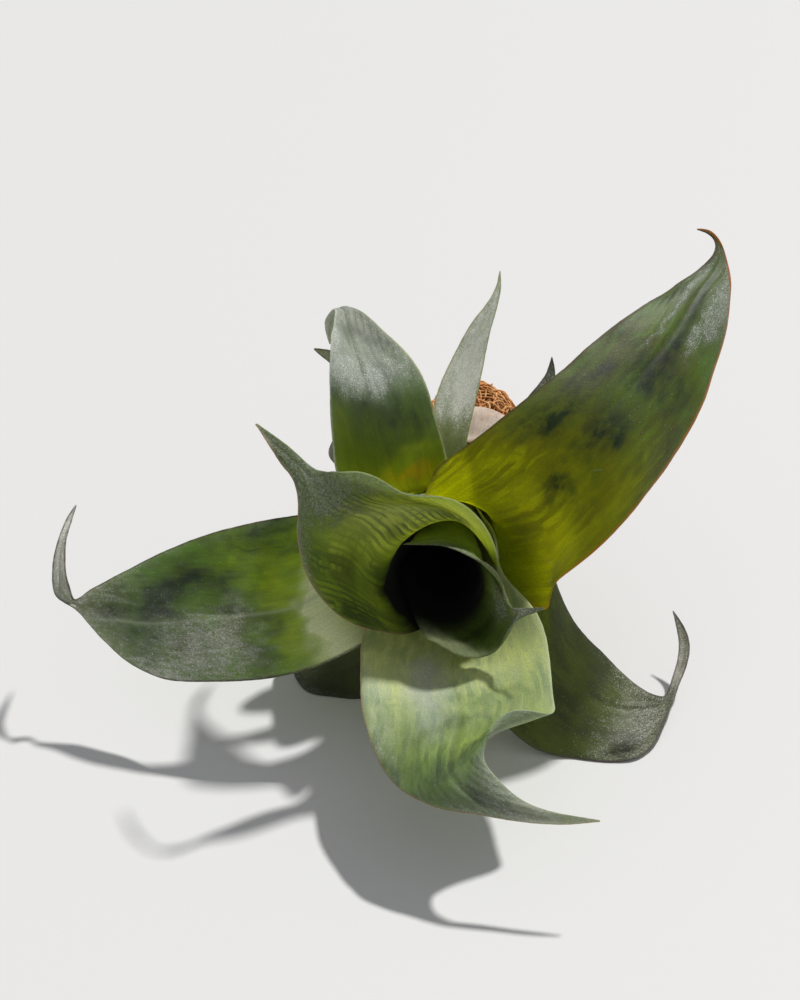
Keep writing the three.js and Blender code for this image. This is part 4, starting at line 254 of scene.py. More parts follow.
        [(38.78, 36.41, 56.25), (41.24, 35.47, 52.37), (42.12, 35.2, 47.77), (41.09, 35.72, 42.74), (38.18, 37.01, 38.68)],
        [(47.57, 40.65, 55.04), (49.35, 39.71, 51.65), (50, 39.44, 47.77), (49.31, 39.96, 43.5), (47.27, 41.26, 39.89)],
        [(54.54, 47.32, 52.62), (55.63, 46.6, 49.55), (56.06, 46.41, 46.25), (55.79, 46.76, 42.96), (54.85, 47.62, 39.89)],
        [(59.39, 54.59, 46.86), (60.06, 54.1, 44.97), (60.3, 53.98, 42.92), (60.07, 54.25, 40.86), (59.39, 54.89, 38.98)],
        [(62.72, 61.26, 40.5), (62.79, 61.26, 40.35), (62.81, 61.26, 40.19), (62.79, 61.26, 40.03), (62.72, 61.26, 39.89)],
    ],
    "small_tip_leaf": [
        [(20.88, 42.28, 60.01), (24.14, 41.69, 60.27), (27.24, 41.13, 59.21), (29.69, 40.7, 57.01), (31.1, 40.46, 54.01)],
        [(25.91, 37.04, 64.47), (28.39, 36.59, 63.46), (30.45, 36.54, 61.68), (31.86, 36.91, 59.37), (32.68, 37.39, 56.95)],
        [(28.98, 36.41, 64.49), (31.7, 35.43, 63.66), (34.69, 35.2, 63.49), (37.64, 35.74, 64.01), (40.15, 37.01, 65.18)],
        [(35.81, 40.04, 73.27), (37.68, 39.54, 72.53), (39.73, 39.44, 72.23), (41.98, 39.81, 72.46), (43.97, 40.65, 73.24)],
        [(41.53, 44.29, 79.48), (42.81, 43.95, 78.88), (44.25, 43.98, 78.61), (45.75, 44.41, 78.73), (47, 45.2, 79.26)],
        [(45.25, 48.53, 82.5), (45.84, 48.48, 82.27), (46.47, 48.53, 82.15), (47.29, 48.76, 82.2), (48, 49.14, 82.48)],
        [(46.99, 52.17, 86.28), (47.05, 52.17, 86.28), (47.11, 52.17, 86.28), (47.17, 52.17, 86.28), (47.23, 52.17, 86.28)],
    ],
    "papery_sheath": [
        [(17.85, 44.04, 59.17), (21.49, 43.37, 60.9), (25.52, 42.64, 60.82), (29.1, 42, 58.97), (31.53, 41.58, 55.7)],
        [(17.41, 46.3, 59.67), (21.52, 45.55, 61.76), (26.11, 44.72, 61.72), (30.19, 44, 59.56), (32.86, 43.53, 55.76)],
        [(16.68, 48.62, 60.72), (21.47, 47.74, 63.22), (26.86, 46.77, 63.2), (31.63, 45.92, 60.65), (34.7, 45.39, 56.15)],
        [(16.2, 51.2, 62.16), (21.63, 50.21, 64.91), (27.7, 49.11, 64.86), (33.08, 48.15, 62.01), (36.61, 47.54, 56.99)],
        [(16.73, 53.29, 63.96), (22.45, 52.24, 66.37), (28.64, 51.13, 66.1), (34.14, 50.15, 63.19), (37.91, 49.49, 58.19)],
        [(18.86, 54.77, 66.01), (24.2, 53.8, 67.41), (29.69, 52.81, 66.78), (34.59, 51.94, 64.19), (38.25, 51.3, 59.98)],
    ],
    "old_sheath_left": [
        [(19.85, 43.44, 43.29), (16.44, 44.04, 45.72), (14.42, 44.39, 49.41), (14.2, 44.41, 53.63), (15.82, 44.1, 57.52)],
        [(20.13, 46.21, 41.76), (15.95, 46.95, 44.58), (13.48, 47.38, 49.01), (13.26, 47.39, 54.1), (15.33, 46.99, 58.73)],
        [(19.67, 49.75, 38.79), (14.27, 50.71, 42.42), (11.07, 51.26, 48.15), (10.78, 51.28, 54.72), (13.46, 50.76, 60.71)],
        [(18.02, 53.5, 36.81), (12.52, 54.47, 41.01), (9.18, 55.05, 47.13), (8.57, 55.12, 54.1), (10.81, 54.69, 60.71)],
        [(15.33, 57.74, 36.49), (10.9, 58.52, 40.76), (8.08, 59, 46.26), (7.17, 59.14, 52.39), (8.28, 58.91, 58.49)],
        [(12.11, 61.13, 38.29), (9.59, 61.57, 41.56), (7.8, 61.87, 45.29), (6.81, 62.03, 49.32), (6.66, 62.04, 53.46)],
    ],
    "old_sheath_right": [
        [(32.22, 41.47, 53.27), (31.92, 41.54, 49.35), (30.01, 41.9, 45.92), (26.86, 42.48, 43.64), (23.06, 43.17, 42.92)],
        [(33.63, 43.72, 53.78), (33.4, 43.78, 49.22), (31.23, 44.19, 45.22), (27.55, 44.87, 42.6), (23.11, 45.67, 41.89)],
        [(36.38, 46.35, 54.19), (36.1, 46.42, 48.61), (33.44, 46.93, 43.72), (28.93, 47.76, 40.51), (23.5, 48.74, 39.64)],
        [(39.24, 49.28, 52.81), (38.4, 49.46, 47.07), (35.42, 50.02, 42.13), (30.78, 50.87, 38.76), (25.21, 51.89, 37.5)],
        [(41.06, 52.1, 49.27), (39.58, 52.39, 44.77), (36.87, 52.89, 40.9), (33.17, 53.58, 38.01), (28.79, 54.37, 36.35)],
        [(40.5, 54.41, 44.51), (39.15, 54.67, 42.28), (37.48, 54.98, 40.29), (35.53, 55.34, 38.59), (33.33, 55.74, 37.22)],
    ],
    "dry_leaf": [
        [(17.24, 44.78, 60.71), (15.6, 45.08, 59.2), (14.3, 45.32, 57.39), (13.4, 45.5, 55.33), (12.94, 45.59, 53.13)],
        [(10.91, 40.04, 68.37), (8.44, 40.2, 65.41), (6.66, 40.65, 62.01), (5.81, 41.18, 59.17), (5.45, 41.86, 56.25)],
        [(4.24, 40.04, 72.01), (2.05, 40.5, 68.85), (0.6, 41.26, 65.34), (0.01, 42.09, 62.32), (0, 43.07, 59.28)],
        [(-4.25, 38.83, 72.01), (-6.18, 39.21, 68.83), (-7.28, 40.04, 65.34), (-7.5, 40.87, 62.89), (-7.28, 41.86, 60.5)],
        [(-12.92, 37.01, 70.23), (-14.55, 37.35, 66.44), (-15.15, 37.92, 62.39), (-14.74, 38.62, 58.65), (-13.44, 39.44, 55.14)],
        [(-18.05, 36.11, 67.94), (-18.63, 36.18, 65.15), (-18.75, 36.41, 62.31), (-18.25, 36.91, 58.87), (-17.06, 37.62, 55.64)],
        [(-19.9, 35.8, 64.89), (-20.27, 35.74, 63.56), (-20.37, 35.8, 62.17), (-20.09, 36.03, 60.52), (-19.41, 36.41, 59.03)],
    ],
}

AXIS_BACK = np.array([23.63, 44.59, 52.01])  # the stem's axis, at the face of the root ball
AXIS_MOUTH = np.array([12.42, -17.53, 51.71])  # and in the middle of the funnel's mouth
BALL_CENTRE = np.array([23.63, 63.68, 50.8])
ROOTS = {
    "root_1": [(25.45, 78.23, 48.37), (29.09, 83.07, 45.34), (34.54, 85.5, 39.89), (38.78, 84.29, 33.83), (40, 80.65, 28.98)],
    "root_2": [(20.6, 78.83, 45.34), (15.75, 83.68, 42.31), (9.09, 85.5, 37.47), (3.03, 83.68, 31.41), (0, 80.04, 25.34)],
    "root_3": [(24.24, 77.62, 41.1), (22.42, 82.47, 35.65), (17.57, 83.68, 29.59), (15.75, 81.26, 24.13), (17.57, 78.23, 19.89)],
    "root_4": [(30.91, 76.41, 45.34), (36.36, 80.04, 42.31), (41.81, 80.65, 36.86), (45.45, 77.62, 30.19)],
}
STEM_RADIUS = 7.2
STEM_LENGTH = 29.5
BALL_RADIUS = 15.8
BALL_HALF_LENGTH = 18.8


# ---------------------------------------------------------------- small maths
def natural_second(knots, points):
    n = len(knots)
    h = np.diff(knots)
    a = np.zeros((n, n))
    b = np.zeros((n,) + points.shape[1:])
    a[0, 0] = a[-1, -1] = 1.0
    for i in range(1, n - 1):
        a[i, i - 1], a[i, i], a[i, i + 1] = h[i - 1], 2 * (h[i - 1] + h[i]), h[i]
        b[i] = 6 * ((points[i + 1] - points[i]) / h[i] - (points[i] - points[i - 1]) / h[i - 1])
    return np.linalg.solve(a, b.reshape(n, -1)).reshape(points.shape)


def spline(knots, points, t):
    """Natural cubic spline: points (n, ...) at knots, evaluated at every t -> (len(t), ...)."""
    second = natural_second(knots, points)
    i = np.clip(np.searchsorted(knots, t) - 1, 0, len(knots) - 2)
    shape = (-1,) + (1,) * (points.ndim - 1)
    h = (knots[i + 1] - knots[i]).reshape(shape)
    a = ((knots[i + 1] - t)).reshape(shape) / h
    b = ((t - knots[i])).reshape(shape) / h
    return (
        a * points[i]
        + b * points[i + 1]
        + ((a**3 - a) * second[i] + (b**3 - b) * second[i + 1]) * h * h / 6
    )


def smooth(x, lo, hi):
    t = np.clip((x - lo) / (hi - lo), 0, 1)
    return t * t * (3 - 2 * t)


def perlin(x, y, seed):
    """Smooth 2-D gradient noise, about -0.7 to 0.7, the same on every run."""
    rng = np.random.RandomState(seed)
    perm = rng.permutation(256)
    perm = np.concatenate([perm, perm])
    angle = rng.rand(256) * 2 * math.pi
    gx, gy = np.cos(angle), np.sin(angle)
    xi, yi = np.floor(x).astype(int), np.floor(y).astype(int)
    xf, yf = x - xi, y - yi
    xi &= 255
    yi &= 255
    u = xf * xf * xf * (xf * (xf * 6 - 15) + 10)
    v = yf * yf * yf * (yf * (yf * 6 - 15) + 10)

    def corner(dx, dy):
        h = perm[(perm[(xi + dx) & 255] + yi + dy) & 255]
        return gx[h] * (xf - dx) + gy[h] * (yf - dy)

    low = corner(0, 0) * (1 - u) + corner(1, 0) * u
    high = corner(0, 1) * (1 - u) + corner(1, 1) * u
    return low * (1 - v) + high * v


def unit(a):
    return a / np.maximum(np.linalg.norm(a, axis=-1, keepdims=True), 1e-12)


# ---------------------------------------------------------------- leaf shape
def leaf_rows(name, rows, cols):
    """Middle surface of a leaf: points (rows+1, cols+1, 3) in mm, v along, x across and y along in mm."""
    st = np.array(LEAVES[name], float)
    step = np.linalg.norm(np.diff(st, axis=0), axis=2)
    step = 0.5 * step[:, 2] + 0.25 * (step[:, 0] + step[:, 4])
    knots = np.concatenate([[0], np.cumsum(np.maximum(step, 0.3) ** 0.9)])
    u = np.linspace(-1, 1, cols + 1)
    u = 0.8 * u + 0.2 * np.sin(u * math.pi / 2)  # a little finer at the margins
    across = np.array([-1, -0.5, 0, 0.5, 1.0])

    def at(t, us):
        rails = spline(knots, st, t)
        return np.swapaxes(spline(across, np.swapaxes(rails, 0, 1), us), 0, 1)

    t = np.linspace(0, knots[-1], 900)
    dense = at(t, across)
    ds = np.linalg.norm(np.diff(dense, axis=0), axis=2)
    ds = 0.5 * ds[:, 2] + 0.25 * (ds[:, 0] + ds[:, 4])
    way = unit(np.diff(dense, axis=0))
    turn = np.zeros(len(t) - 1)
    turn[1:] = np.arccos(np.clip((way[1:] * way[:-1]).sum(2), -1, 1)).max(1)
    weight = ds + 2.2 * np.minimum(turn, 0.2)
    cum = np.concatenate([[0], np.cumsum(weight)])
    t = np.interp(np.linspace(0, cum[-1], rows + 1), cum, t)
    p = at(t, u)
    arc = np.concatenate([[0], np.cumsum(ds)])
    y = np.interp(t, np.linspace(0, knots[-1], 900), arc)
    d = np.linalg.norm(np.diff(p, axis=1), axis=2)
    x = np.concatenate([np.zeros((rows + 1, 1)), np.cumsum(d, axis=1)], axis=1)
    mid = x[:, cols // 2 : cols // 2 + 1]
    edge = np.minimum(x, x[:, -1:] - x)
    x = x - mid
    return p, u, y, x, edge


def leaf_normals(p):
    along = np.gradient(p, axis=0)
    across = np.gradient(p, axis=1)
    n = unit(np.cross(across, along))
    for _ in range(3):
        pad = np.pad(n, ((1, 1), (1, 1), (0, 0)), mode="edge")
        n = unit(2 * n + pad[2:, 1:-1] + pad[:-2, 1:-1] + pad[1:-1, 2:] + pad[1:-1, :-2])
    return n


def make_mesh(name, verts, faces, attributes=None, smooth_faces=True):
    mesh = bpy.data.meshes.new(name)
    mesh.vertices.add(len(verts))
    mesh.vertices.foreach_set("co", np.asarray(verts, np.float32).ravel())
    faces = [list(f) for f in faces]
    totals = np.array([len(f) for f in faces], np.int32)
    mesh.loops.add(int(totals.sum()))
    mesh.loops.foreach_set("vertex_index", np.concatenate([np.array(f, np.int32) for f in faces]))
    mesh.polygons.add(len(faces))
    mesh.polygons.foreach_set("loop_start", np.concatenate([[0], np.cumsum(totals)[:-1]]).astype(np.int32))
    mesh.polygons.foreach_set("loop_total", totals)
    mesh.update(calc_edges=True)
    mesh.validate()
    if smooth_faces:
        mesh.polygons.foreach_set("use_smooth", [True] * len(mesh.polygons))
    for key, values in (attributes or {}).items():
        values = np.asarray(values, np.float32)
        kind = "FLOAT" if values.ndim == 1 else "FLOAT_VECTOR"
        layer = mesh.attributes.new(key, kind, "POINT")
        layer.data.foreach_set("value" if values.ndim == 1 else "vector", values.ravel())
    obj = bpy.data.objects.new(name, mesh)
    bpy.context.scene.collection.objects.link(obj)
    return obj


def blobs(u, v, spots, seed, x, y):
    """Sum of soft spots (u, v, radius u, radius v, strength), their outlines made uneven by noise."""
    total = np.zeros_like(x)
    du = 0.10 * perlin(x / 4.0, y / 5.0, seed + 5)
    dv = 0.03 * perlin(x / 4.0 + 31, y / 5.0, seed + 6)
    for su, sv, ru, rv, strength in spots:
        total += strength * np.exp(-((((u + du) - su) / ru) ** 2) - (((v + dv) - sv) / rv) ** 2)
    return total


def leaf_object(name, spec):
    rows, cols = spec["grid"]
    p, u1, y1, x, edge = leaf_rows(name, rows, cols)
    seed = spec["seed"]
    length = y1[-1]
    v1 = y1 / length
    u = np.broadcast_to(u1, x.shape)
    v = np.broadcast_to(v1[:, None], x.shape)
    y = np.broadcast_to(y1[:, None], x.shape)
    n = leaf_normals(p)

    # relief, mm, outwards from the upper face
    free = smooth(v, *spec.get("free", (0.32, 0.55)))
    thin = smooth(1 - v, 0.0, 0.12)
    relief = spec.get("wave", 0.45) * free * thin * np.abs(u) ** 2.5 * (
        perlin(y / 11.0 + np.sign(u) * 7.3, 0.15 * x + 3.1, seed) * 1.6
    )
    relief += 0.22 * free * thin * perlin(x / 5.5, y / 9.0, seed + 1)
    relief += 0.05 * (0.3 + 0.7 * free) * perlin(x / 1.7, y / 12.0, seed + 2)
    pleat = spec.get("pleat", 0.05) * smooth(v, 0.45, 0.9)
    relief += pleat * np.cos(2 * math.pi * (x + 0.5 * perlin(x * 0 + 1.3, y / 9.0, seed + 3)) / 1.9) * smooth(edge, 0.3, 1.5)
    rib = spec.get("rib", 0.35) * smooth(v, 0.15, 0.8) * thin + 0.06 * thin
    width_rib = 1.0 - 0.45 * smooth(v, 0.4, 0.95)
    relief -= rib * np.exp(-((x / width_rib) ** 2))
    half = 0.5 * np.interp(v1, [0, 0.3, 0.75, 1.0], spec.get("thick", (0.95, 0.75, 0.5, 0.32)))[:, None]
    margin = 0.55 + 0.45 * smooth(edge, 0.0, 1.6)
    half = half * margin
    keel = 0.28 * smooth(v, 0.05, 0.3) * thin * np.exp(-((x / 1.3) ** 2))
    if spec.get("crumple"):
        c = spec["crumple"]
        relief += c * (perlin(x / 2.2, y / 6.0, seed + 8) + 0.5 * perlin(x / 0.9, y / 3.0, seed + 9))
    top = p + n * (relief + half)[..., None]
    low = p + n * (relief - half - keel)[..., None]

    # margins wander a little in their own plane
    out = unit(p[:, -1] - p[:, -3])
    out_l = unit(p[:, 0] - p[:, 2])
    rough = spec.get("ragged", 0.10)
    for col, way, sgn in ((0, out_l, 0), (cols, out, 1)):
        w = rough * (perlin(y1 / 1.4 + 11 * sgn, y1 * 0 + 0.5, seed + 20) + 0.7 * perlin(y1 / 4.5 + 5 * sgn, y1 * 0 + 2.5, seed + 21))
        w = w * smooth(v1, 0.2, 0.4)
        top[:, col] += way * w[:, None]
        low[:, col] += way * w[:, None]

    R, C = rows + 1, cols + 1
    bulge = half[:, [0, -1]] * 0.9
    mid_l = 0.5 * (top[:, 0] + low[:, 0])
    mid_r = 0.5 * (top[:, -1] + low[:, -1])
    ring = [top]  # left to right over the top
    for f in (0.5, 0.0, -0.5):  # round the right margin
        c = math.sqrt(1 - f * f)
        ring.append((mid_r + out * (bulge[:, 1:] * c) + (top[:, -1] - mid_r) * f)[:, None])
    ring.append(low[:, ::-1])
    for f in (-0.5, 0.0, 0.5):
        c = math.sqrt(1 - f * f)
        ring.append((mid_l + out_l * (bulge[:, :1] * c) + (top[:, 0] - mid_l) * f)[:, None])
    verts = np.concatenate(ring, axis=1)
    K = verts.shape[1]

    def round_ring(values, side=None):
        if side is not None:
            return np.concatenate(
                [np.ones((R, C)), np.tile([0.7, 0.0, -0.7], (R, 1)), -np.ones((R, C)), np.tile([-0.7, 0.0, 0.7], (R, 1))], axis=1
            )
        right = np.repeat(values[:, -1:], 3, axis=1)
        left = np.repeat(values[:, :1], 3, axis=1)
        return np.concatenate([values, right, values[:, ::-1], left], axis=1)

    faces = []
    idx = np.arange(R * K).reshape(R, K)
    a, b = idx[:-1], idx[1:]
    quads = np.stack([a, np.roll(a, -1, axis=1), np.roll(b, -1, axis=1), b], axis=-1).reshape(-1, 4)
    faces = quads.tolist()

    # closed ends: a strip of faces joins the upper and lower rows at each end
    cap_verts = []

    def cap(row, base, flip):
        ids = idx[row]
        tops = ids[:C]
        lows = ids[C + 3 : 2 * C + 3][::-1]
        right = ids[C : C + 3]
        left = ids[2 * C + 3 :]
        strip = []
        for j in range(C - 1):
            strip.append([tops[j], tops[j + 1], lows[j + 1], lows[j]])
        strip.append([tops[-1], right[0], right[1], right[2], lows[-1]])
        strip.append([lows[0], left[0], left[1], left[2], tops[0]])
        for f in strip:
            f = [int(i) for i in f]
            faces.append(f[::-1] if flip else f)

    cap(0, 0, True)
    cap(R - 1, 0, False)

    dark = spec.get("blotch", 0.0) * smooth(
        perlin(x / 6.5, y / 10.0, seed + 30) + 0.45 * perlin(x / 2.6, y / 5.0, seed + 31), 0.05, 0.5
    ) * smooth(v, *spec.get("blotch_v", (0.2, 0.35)))
    # dark spots: partly blue-green blotches, partly painted shade in folds and at some leaf bases
    dark = dark + blobs(u, v, spec.get("blotch_and_shade_spots", ()), seed, x, y)
    lo, hi = spec.get("scurf", (0.05, 0.8))
    silver = lo + (hi - lo) * smooth(v, *spec.get("scurf_v", (0.35, 0.95)))
    silver = silver + spec.get("scurf_edge", 0.15) * smooth(1 - edge / 5.0, 0, 1)
    silver = silver + 0.25 * perlin(x / 3.0, y / 8.0, seed + 32) * (0.3 + silver)
    # silver spots: partly scurf, partly painted sheen where the sun glances off the leaf
    silver = silver + blobs(u, v, spec.get("scurf_and_sheen_spots", ()), seed + 3, x, y)
    # pale spots are painted light: sheen, sunlit patches and the glow of backlit parts
    pale = blobs(u, v, spec.get("painted_light_spots", ()), seed + 6, x, y)
    # warm spots: partly the tissue's own yellow, partly painted glow where light shines through the base
    warm = blobs(u, v, spec.get("warm_glow_spots", ()), seed + 9, x, y)
    # painted shade: the throat knots darken the inside of the funnel towards its bottom; shade spots darken more places
    shade = 1 - smooth(v, *[np.interp(u, [-1, -0.2, 0.2, 1], k) for k in spec["throat_shade"]]) if "throat_shade" in spec else 0 * x
    shade = shade + blobs(u, v, spec.get("shade_spots", ()), seed + 12, x, y)
    along, strength = zip(*spec.get("net", ((0, 0.5), (0.3, 0.9), (0.7, 0.6), (0.95, 0.15))))
    netting = np.interp(v, along, strength) * (0.8 + 0.9 * perlin(x / 13.0, y / 19.0, seed + 33))
    zero = np.zeros_like(x)
    patt = np.stack([round_ring(np.clip(a, -1, 1.5)).ravel() for a in (dark, silver, pale)], axis=1)
    tint = np.stack([round_ring(np.clip(a, 0, 1.3)).ravel() for a in (shade, warm, netting)], axis=1)
    lf = np.stack([round_ring(x + zero).ravel(), round_ring(y + zero).ravel(), np.concatenate([edge, np.zeros((R, 3)), edge[:, ::-1], np.zeros((R, 3))], axis=1).ravel()], axis=1)
    ln = np.stack([round_ring(u + zero).ravel(), round_ring(v + zero).ravel(), round_ring(zero, True).ravel()], axis=1)
    obj = make_mesh(spec.get("label", name + "_skin"), verts.reshape(-1, 3) * MM, faces, {"lf": lf, "ln": ln, "patt": patt, "tint": tint})
    obj.data.materials.append(spec["material"])
    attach(obj, "root")
    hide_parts(name)
    return obj


# ---------------------------------------------------------------- materials
def lin(r, g, b):
    """A colour given as 0-255 screen values, as linear light."""
    out = []
    for c in (r, g, b):
        c = c / 255.0
        out.append(c / 12.92 if c <= 0.04045 else ((c + 0.055) / 1.055) ** 2.4)
    return tuple(out)


class Tree:
    """Short ways to build a node tree."""

    def __init__(self, name):
        self.material = bpy.data.materials.new(name)
        self.material.use_nodes = True
        self.tree = self.material.node_tree
        self.tree.nodes.clear()

    def new(self, kind, **settings):
        node = self.tree.nodes.new(kind)
        for key, value in settings.items():
            setattr(node, key, value)
        return node

    def put(self, socket, value):
        if isinstance(value, bpy.types.NodeSocket):
            self.tree.links.new(value, socket)
        elif socket.type == "RGBA" and len(value) == 3:
            socket.default_value = (*value, 1.0)
        else:
            socket.default_value = value

    def math(self, operation, a, b=0.0, c=0.0, clamp=False):
        node = self.new("ShaderNodeMath", operation=operation, use_clamp=clamp)
        for socket, value in zip(node.inputs, (a, b, c)):
            self.put(socket, value)
        return node.outputs[0]

    def add(self, a, b):
        return self.math("ADD", a, b)

    def sub(self, a, b):
        return self.math("SUBTRACT", a, b)

    def mul(self, a, b):
        return self.math("MULTIPLY", a, b)

    def step(self, x, lo, hi, to=(0.0, 1.0)):
        node = self.new("ShaderNodeMapRange", interpolation_type="SMOOTHSTEP")
        for key, value in (("Value", x), ("From Min", lo), ("From Max", hi), ("To Min", to[0]), ("To Max", to[1])):
            self.put(node.inputs[key], value)
        return node.outputs[0]

    def vector(self, x, y, z=0.0):
        node = self.new("ShaderNodeCombineXYZ")
        for socket, value in zip(node.inputs, (x, y, z)):
            self.put(socket, value)
        return node.outputs[0]

    def attribute(self, name):
        node = self.new("ShaderNodeAttribute", attribute_name=name)
        split = self.new("ShaderNodeSeparateXYZ")
        self.tree.links.new(node.outputs["Vector"], split.inputs[0])
        return split.outputs

    def noise(self, vector, scale, detail=2.0, rough=0.5, distort=0.0):
        node = self.new("ShaderNodeTexNoise", noise_dimensions="3D")
        for key, value in (("Vector", vector), ("Scale", scale), ("Detail", detail), ("Roughness", rough), ("Distortion", distort)):
            self.put(node.inputs[key], value)
        return node.outputs[0]

    def cells(self, vector, scale, feature="F1", random=1.0, dims="3D"):
        node = self.new("ShaderNodeTexVoronoi", feature=feature, voronoi_dimensions=dims)
        self.put(node.inputs["Vector"], vector)
        self.put(node.inputs["Scale"], scale)
        self.put(node.inputs["Randomness"], random)
        return node

    def mix(self, factor, a, b, blend="MIX"):
        node = self.new("ShaderNodeMix", data_type="RGBA", blend_type=blend)
        self.put(node.inputs[0], factor)
        self.put(node.inputs[6], a)
        self.put(node.inputs[7], b)
        return node.outputs[2]

    def ramp(self, factor, stops, interpolation="EASE"):
        node = self.new("ShaderNodeValToRGB")
        ramp = node.color_ramp
        ramp.interpolation = interpolation
        while len(ramp.elements) < len(stops):
            ramp.elements.new(0.5)
        for element, (position, colour) in zip(ramp.elements, stops):
            element.position = position
            element.color = (*colour, 1.0)
        self.put(node.inputs[0], factor)
        return node.outputs[0]

    def bump(self, height, strength, distance, normal=None):
        node = self.new("ShaderNodeBump")
        self.put(node.inputs["Strength"], strength)
        self.put(node.inputs["Distance"], distance)
        self.put(node.inputs["Height"], height)
        if normal is not None:
            self.put(node.inputs["Normal"], normal)
        return node.outputs[0]

    def surface(self, colour, roughness, normal=None, translucent=None, share=0.5, **fixed):
        shader = self.new("ShaderNodeBsdfPrincipled")
        self.put(shader.inputs["Base Color"], colour)
        self.put(shader.inputs["Roughness"], roughness)
        for key, value in fixed.items():
            shader.inputs[key.replace("_", " ")].default_value = value
        if normal is not None:
            self.put(shader.inputs["Normal"], normal)
        out = self.new("ShaderNodeOutputMaterial")
        result = shader.outputs[0]
        if translucent is not None:
            through = self.new("ShaderNodeBsdfTranslucent")
            self.put(through.inputs["Color"], translucent)
            if normal is not None:
                self.put(through.inputs["Normal"], normal)
            mixer = self.new("ShaderNodeMixShader")
            self.put(mixer.inputs[0], share)
            self.tree.links.new(result, mixer.inputs[1])
            self.tree.links.new(through.outputs[0], mixer.inputs[2])
            result = mixer.outputs[0]
        self.tree.links.new(result, out.inputs["Surface"])
        return self.material


def leaf_material(name, m):
    t = Tree(name)
    seed = m["seed"] * 13.7
    x, y, edge = t.attribute("lf")
    u, v, side = t.attribute("ln")
    dark, silver, pale = t.attribute("patt")
    shade, warm, netting = t.attribute("tint")
    place = t.vector(x, y, seed)

    # a wandering copy of the place, so that nothing has straight outlines
    warp_a = t.sub(t.noise(place, 0.17, 1.0), 0.5)
    warp_b = t.sub(t.noise(t.vector(y, x, seed + 4.0), 0.12, 1.0), 0.5)
    wx = t.add(x, t.mul(warp_a, 2.6))
    wy = t.add(y, t.mul(warp_b, 7.0))

    # soft pale windows, long along the leaf, in a darker net that comes and goes
    cw, cl = m.get("cell", (3.2, 10.0))
    cell_place = t.vector(t.mul(wx, 1.0 / cw), t.mul(wy, 1.0 / cl), 0.0)
    walls = t.cells(cell_place, 1.0, "DISTANCE_TO_EDGE", m.get("random", 0.9), "2D").outputs["Distance"]
    cell = t.cells(cell_place, 1.0, "F1", m.get("random", 0.9), "2D")
    rgb = t.new("ShaderNodeSeparateColor")
    t.put(rgb.inputs[0], cell.outputs["Color"])
    window = t.mul(t.step(walls, 0.03, m.get("soft", 0.55)), t.step(rgb.outputs[0], 0.0, 0.9, (0.1, 1.1)))
    cloud = t.noise(t.vector(t.mul(wx, 0.30), t.mul(wy, 0.10), seed + 2.0), 1.0, 2.0, 0.5)
    window = t.add(t.mul(window, m.get("crisp", 0.6)), t.mul(t.step(cloud, 0.36, 0.62), 1.0 - m.get("crisp", 0.6)))
    streak = t.noise(t.vector(t.mul(x, 1.0), t.mul(y, 0.07), seed + 9.0), 1.0, 3.0, 0.6)
    window = t.math("MULTIPLY", window, t.step(streak, 0.3, 0.7, (0.9, 1.05)), clamp=True)
    bars = t.step(t.noise(t.vector(t.mul(wx, 0.36), t.mul(wy, 0.035), seed + 15.0), 1.0, 2.0, 0.5), 0.47, 0.56)
    net = t.math("MAXIMUM", t.sub(1.0, window), t.mul(bars, m.get("bars", 0.8)))
    # rows of short dark dashes along the leaf and faint rungs across it
    pitch = m.get("pitch", 2.8)
    stripes = t.math("COSINE", t.mul(t.add(x, t.mul(warp_a, 1.8)), 6.2832 / pitch))
    rows = t.noise(t.vector(t.mul(wx, 0.10), t.mul(wy, 0.085), seed + 31.0), 1.0, 2.0, 0.5)
    dash = t.mul(t.step(stripes, -0.2, 0.5), t.step(rows, *m.get("rows", (0.42, 0.56))))
    rungs = t.math("COSINE", t.mul(t.add(y, t.mul(warp_a, 3.5)), 6.2832 / m.get("rung", 3.6)))
    patchy = t.noise(t.vector(t.mul(wx, 0.16), t.mul(wy, 0.06), seed + 37.0), 1.0, 2.0, 0.5)
    rung = t.mul(t.step(rungs, 0.0, 0.9), t.step(patchy, 0.42, 0.6))
    weave = t.math("MAXIMUM", dash, t.mul(rung, m.get("rungs", 0.5)))
    net = t.math("MAXIMUM", net, t.mul(weave, m.get("weave", 0.8)))
    net = t.math("MULTIPLY", net, netting, clamp=True)

    # tissue colour along the leaf
    vn = t.add(v, t.mul(warp_b, 0.08))
    light = t.ramp(vn, [(p, c) for p, c in m["window"]])
    deep = t.ramp(vn, [(p, c) for p, c in m["wall"]])
    # painted glow: the surface colour turns yellow where the warm spots stand
    light = t.mix(t.math("MULTIPLY", warm, 0.9, clamp=True), light, m.get("warm", lin(170, 174, 20)))
    tissue = t.mix(net, light, deep)

    # cloudy dark blotches, with painted shade in some folds and at some bases, and pale places that are painted light:
    # sheen, sunlit patches and glow
    puff = t.noise(t.vector(t.mul(x, 0.34), t.mul(y, 0.16), seed + 3.0), 1.0, 4.0, 0.65)
    blotch_and_shade = t.math("MULTIPLY", dark, t.step(puff, 0.34, 0.62, (0.6, 1.1)), clamp=True)
    tissue = t.mix(t.mul(blotch_and_shade, 0.85), tissue, m["dark"])
    # painted light: pale colour laid where the pale spots stand
    tissue = t.mix(t.math("MULTIPLY", pale, t.step(puff, 0.3, 0.7, (0.7, 1.1)), clamp=True), tissue, m.get("pale", lin(200, 212, 178)))

    for u0, v0, ru, rv, tilt in m.get("scars", ()):
        across = t.mul(t.sub(u, u0), 1.0 / ru)
        along = t.add(t.mul(t.sub(v, v0), 1.0 / rv), t.mul(across, tilt))
        place_2 = t.add(t.mul(across, across), t.mul(along, along))
        scar = t.mul(t.step(t.add(place_2, t.mul(t.noise(place, 1.6, 2.0), 0.8)), 1.3, 0.5), 0.75)
        tissue = t.mix(scar, tissue, lin(214, 226, 190))

